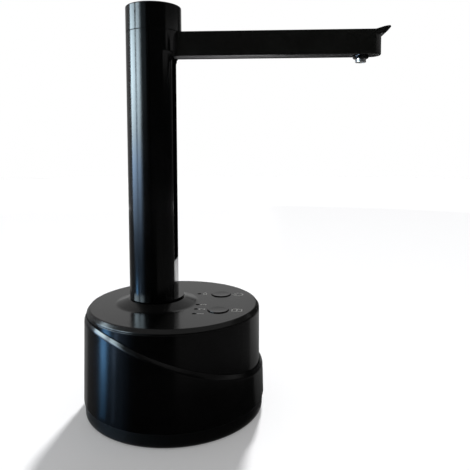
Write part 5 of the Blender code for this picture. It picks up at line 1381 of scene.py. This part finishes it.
def make_inlet():
    low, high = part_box("inlet_fitting")
    flange_r = (high.y - low.y) / 2
    inner_x = RECESS_BACK_X + GAP
    wall_x = RECESS_BACK_X - RECESS_WALL - GAP
    profile = [
        (INLET_BORE_R, high.x),
        (INLET_STUB_R, high.x, HAIR_EDGE),
        (INLET_STUB_R, inner_x),
        (INLET_CORE_R, inner_x),
        (INLET_CORE_R, wall_x),
        (flange_r, wall_x, HAIR_EDGE),
        (flange_r, wall_x - INLET_FLANGE, FINE_EDGE),
    ]
    for number in range(BARB_COUNT):
        top = wall_x - INLET_FLANGE - number * BARB_LENGTH
        profile += [(INLET_CORE_R, top), (BARB_R, top - BARB_LENGTH / 3, HAIR_EDGE)]
    profile += [(INLET_CORE_R, low.x, HAIR_EDGE), (INLET_BORE_R, low.x, HAIR_EDGE)]
    shape = turned(profile, SMALL_STEPS, (0, INLET_Y, RECESS_Z), "X")
    piece("hose_inlet_barb", shape, PLASTIC_SATIN, ["inlet_fitting"])


# Floor, light and camera

FLOOR_R = 3.0
FLOOR_COLOR = (0.86, 0.86, 0.87)
FLOOR_GLOW = (0.18, 0.18, 0.18)
AMBIENT = 0.35
CEILING_LOW = math.sin(math.radians(16))
CEILING_HIGH = math.sin(math.radians(30))
CEILING_LIGHT = 0.2
SUN_FROM = (0.10, 0.90, 0.77)
SUN_STRENGTH = 3.45
SUN_SOFTNESS = math.radians(6)
LENS_LENGTH = 40.22
SENSOR_WIDTH = 36.0
LENS_SHIFT = -50 / 470
CAMERA_AT = (0.0610, -0.36015, 0.1792)
CAMERA_HEADING = 0.05
CAMERA_TILT = -0.0695
CAMERA_ROLL = 0.0035
CARD_STEPS = 24
VIEW_HEADING = math.radians(9.6)
ON_FLOOR = 0.001
PANE_R = 1.0
WALL_R = 1.3
SKY = (0.72, 0.90, 1.0)
DUSK = (0.46, 0.68, 1.0)
BLUE = (0.22, 0.54, 1.0)
WHITE = (1.0, 1.0, 1.0)


def colored(color, *rows):
    return [(place, color, strength) for place, strength in rows]


def dimmed(rows, share):
    return [(place, color, strength * share) for place, color, strength in rows]


# Rows of upright cards are height, colour and strength
PANE_ROWS = [
    *colored(DUSK, (ON_FLOOR, 3.0), (0.05, 4.0), (0.15, 9.5)),
    *colored(SKY, (0.22, 11.0), (0.32, 19.0), (0.43, 17.0), (0.52, 12.0), (0.60, 7.0)),
]
BAR_ROWS = [
    *colored(DUSK, (ON_FLOOR, 1.5), (0.15, 4.0)),
    *colored(SKY, (0.43, 4.0), (0.50, 0.5), (0.60, 0.5)),
]
WALL_LEFT = colored(WHITE, (ON_FLOOR, 0.22), (0.15, 0.30), (1.4, 0.45))
WALL_BACK = colored(WHITE, (ON_FLOOR, 0.45), (1.4, 0.50))
WALL_RIGHT_BACK = colored(WHITE, (ON_FLOOR, 0.05), (0.42, 0.05), (0.56, 0.40), (1.4, 0.40))
WALL_RIGHT_DARK = colored(WHITE, (ON_FLOOR, 0.03), (1.4, 0.05))
WALL_RIGHT = colored(
    WHITE, (ON_FLOOR, 0.01), (0.40, 0.01), (0.45, 0.35), (0.54, 0.35), (0.58, 0.08), (0.95, 0.08)
)
WALL_FRONT = colored(WHITE, (ON_FLOOR, 0.01), (0.95, 0.015))
WALL_FRONT_LEFT = colored(SKY, (ON_FLOOR, 0.01), (0.2, 0.1), (0.45, 0.4), (0.95, 0.1))
CARDS = (
    ("window_near_edge", 43, 49, dimmed(PANE_ROWS, 0.25), PANE_R),
    ("window_near_fade", 49, 55, dimmed(PANE_ROWS, 0.8), PANE_R),
    ("window_near_pane", 55, 65, PANE_ROWS, PANE_R),
    ("window_far_pane", 72, 98, PANE_ROWS, PANE_R),
    ("window_bar", 65, 72, BAR_ROWS, PANE_R),
    ("wall_left", 98, 155, WALL_LEFT, WALL_R),
    ("wall_back", 155, 184, WALL_BACK, WALL_R),
    ("wall_right_back", 184, 206, WALL_RIGHT_BACK, WALL_R),
    ("wall_right_dark", 206, 232, WALL_RIGHT_DARK, WALL_R),
    ("wall_right", -128, -60, WALL_RIGHT, WALL_R),
    ("wall_front", -60, 22, WALL_FRONT, WALL_R),
    ("wall_front_left", 22, 43, WALL_FRONT_LEFT, WALL_R),
)

# Rows of cards on the floor are reach, colour and strength
TABLE_ROWS = colored(DUSK, (0, 0.12), (0.2, 0.28), (0.5, 0.5), (0.8, 1.3), (0.92, 2.8))
TABLE_LEFT = colored(WHITE, (0, 0.06), (0.14, 0.08), (0.3, 0.10), (1.2, 0.13))
TABLE_LEFT_BACK = colored(WHITE, (0, 0.24), (0.14, 0.26), (1.2, 0.24))
TABLE_RIGHT_BACK = colored(
    WHITE, (0, 0.05), (0.06, 0.12), (0.14, 0.24), (0.24, 0.3), (0.32, 0.05), (1.2, 0.05)
)
TABLE_RIGHT = colored(WHITE, (0, 0.01), (0.07, 0.02), (0.12, 0.09), (0.3, 0.09), (1.2, 0.02))
FLOOR_CARDS = (
    ("table_window_edge", 43, 49, dimmed(TABLE_ROWS, 0.15)),
    ("table_window_fade", 49, 55, dimmed(TABLE_ROWS, 0.5)),
    ("table_window", 55, 98, TABLE_ROWS),
    ("table_left", 98, 130, TABLE_LEFT),
    ("table_left_back", 130, 183, TABLE_LEFT_BACK),
    ("table_right_back", -177, -128, TABLE_RIGHT_BACK),
    ("table_right", -128, -10, TABLE_RIGHT),
    ("table_front", -10, 43, colored(WHITE, (0, 0.005), (1.2, 0.01))),
)
STREAKS = (
    ("streak", 82, 93, colored(BLUE, (0.02, 0.5), (0.05, 1.1), (0.09, 2.4), (0.14, 5.0), (0.32, 5.5))),
    ("streak_pale", 67, 72, colored(DUSK, (0.02, 0.3), (0.10, 0.7), (0.14, 1.6), (0.32, 2.2))),
)


def seen_ray(tree):
    """1 for what the camera sees, and 1 for what glossy surfaces and clear ones see."""
    names = ("Is Camera Ray", "Is Glossy Ray", "Is Transmission Ray")
    camera, glossy, clear = (Signal(tree).node("ShaderNodeLightPath", output=name) for name in names)
    return camera, camera.math("MAXIMUM", glossy, clear)


def make_floor():
    """Pale floor that takes the pump's shadow, with a little glow in what is seen of it."""
    shape = bmesh.new()
    bmesh.ops.create_circle(shape, cap_ends=True, radius=FLOOR_R, segments=ROUND_STEPS)
    floor = linked("floor", mesh_of("floor", shape))
    material = new_material(
        "pale_floor",
        Base_Color=rgb(*FLOOR_COLOR),
        Roughness=0.5,
        Specular_IOR_Level=0.2,
        Emission_Strength=1,
    )[0]
    camera, mirrored = seen_ray(material.node_tree)
    glow = camera.math("MAXIMUM", camera, mirrored).between((0, 0, 0), FLOOR_GLOW)
    floor.data.materials.append(connected(material, Emission_Color=glow))


def make_world():
    """White all round for the camera. Gloss and clear pieces see the white low down and a dim ceiling."""
    world = bpy.data.worlds.new("studio")
    bpy.context.scene.world = world
    world.use_nodes = True
    tree = world.node_tree
    background = tree.nodes["Background"]
    camera, mirrored = seen_ray(tree)
    direction = camera.node("ShaderNodeTexCoord", output="Generated")
    height = camera.node("ShaderNodeSeparateXYZ", None, {0: direction}, "Z")
    band = height.over(CEILING_HIGH, CEILING_LOW) * (1 - CEILING_LIGHT) + CEILING_LIGHT
    white = camera.math("MAXIMUM", camera, mirrored * band)
    strength = camera.math("MAXIMUM", white, AMBIENT)
    tree.links.new(strength.socket, background.inputs["Strength"])
    background.inputs["Color"].default_value = rgb(1, 1, 1)


def make_sun():
    """Soft light from behind, whose shadow falls towards the camera."""
    data = bpy.data.lights.new("sun", "SUN")
    data.energy = SUN_STRENGTH
    data.angle = SUN_SOFTNESS
    sun = linked("sun", data)
    sun.rotation_euler = Vector(SUN_FROM).to_track_quat("Z", "Y").to_euler()
    sun.visible_glossy = False


def towards(heading):
    return Vector((-math.sin(heading), -math.cos(heading), 0))


def studio_card(name, first, last, rows, on_floor=False):
    """Card round the pump between two headings, which only glossy and clear pieces see. A heading
    is in degrees from the camera's side, positive towards -X. A row is a reach, a height, a colour
    and a strength. A card on the floor is reached from the spot on the base that shows it."""
    shape = bmesh.new()
    bmesh.ops.create_grid(shape, x_segments=CARD_STEPS, y_segments=len(rows) - 1, size=0.5)
    glow = shape.loops.layers.float_color.new("glow")
    for vert in shape.verts:
        heading = math.radians(first + (last - first) * (vert.co.x + 0.5))
        reach, height, color, strength = rows[round((vert.co.y + 0.5) * (len(rows) - 1))]
        start = towards((heading - VIEW_HEADING) / 2) * FOOT_R if on_floor else Vector()
        vert.co = start + towards(heading) * reach + Vector((0, 0, height))
        for loop in vert.link_loops:
            loop[glow] = rgb(*[channel * strength for channel in color])
    card = linked(name, mesh_of(name, shape))
    black = rgb(0, 0, 0)
    material, place = new_material(name, Base_Color=black, Specular_IOR_Level=0, Emission_Strength=1)
    painted = place.node("ShaderNodeAttribute", {"attribute_name": "glow"})
    card.data.materials.append(connected(material, Emission_Color=painted))
    card.visible_camera = False
    card.visible_diffuse = False
    card.visible_shadow = False


def make_camera():
    data = bpy.data.cameras.new("camera")
    data.lens = LENS_LENGTH
    data.sensor_width = SENSOR_WIDTH
    data.shift_y = LENS_SHIFT
    camera = linked("camera", data)
    turns = ((CAMERA_HEADING, "Z"), (CAMERA_TILT, "X"), (CAMERA_ROLL, "Y"), (math.pi / 2, "X"))
    place = Matrix.Translation(CAMERA_AT)
    for angle, axis in turns:
        place = place @ Matrix.Rotation(angle, 4, axis)
    camera.matrix_world = place
    bpy.context.scene.camera = camera


def make_studio():
    make_floor()
    make_world()
    make_sun()
    for name, first, last, rows, reach in CARDS:
        studio_card(name, first, last, [(reach, *row) for row in rows])
    for height, cards in ((ON_FLOOR, FLOOR_CARDS), (2 * ON_FLOOR, STREAKS)):
        for name, first, last, rows in cards:
            studio_card(name, first, last, [(row[0], height, *row[1:]) for row in rows], True)
    make_camera()
    bpy.context.scene.view_settings.view_transform = "Standard"


dress_frame()
make_pad()
make_bottom_cover()
make_housing()
make_sleeve()
make_top_panel()
make_buttons()
make_light_guides()
make_legends()
make_front_shell()
make_rear_shell()
make_cap()
make_arm()
make_nozzle()
make_recess()
make_inlet()
make_studio()
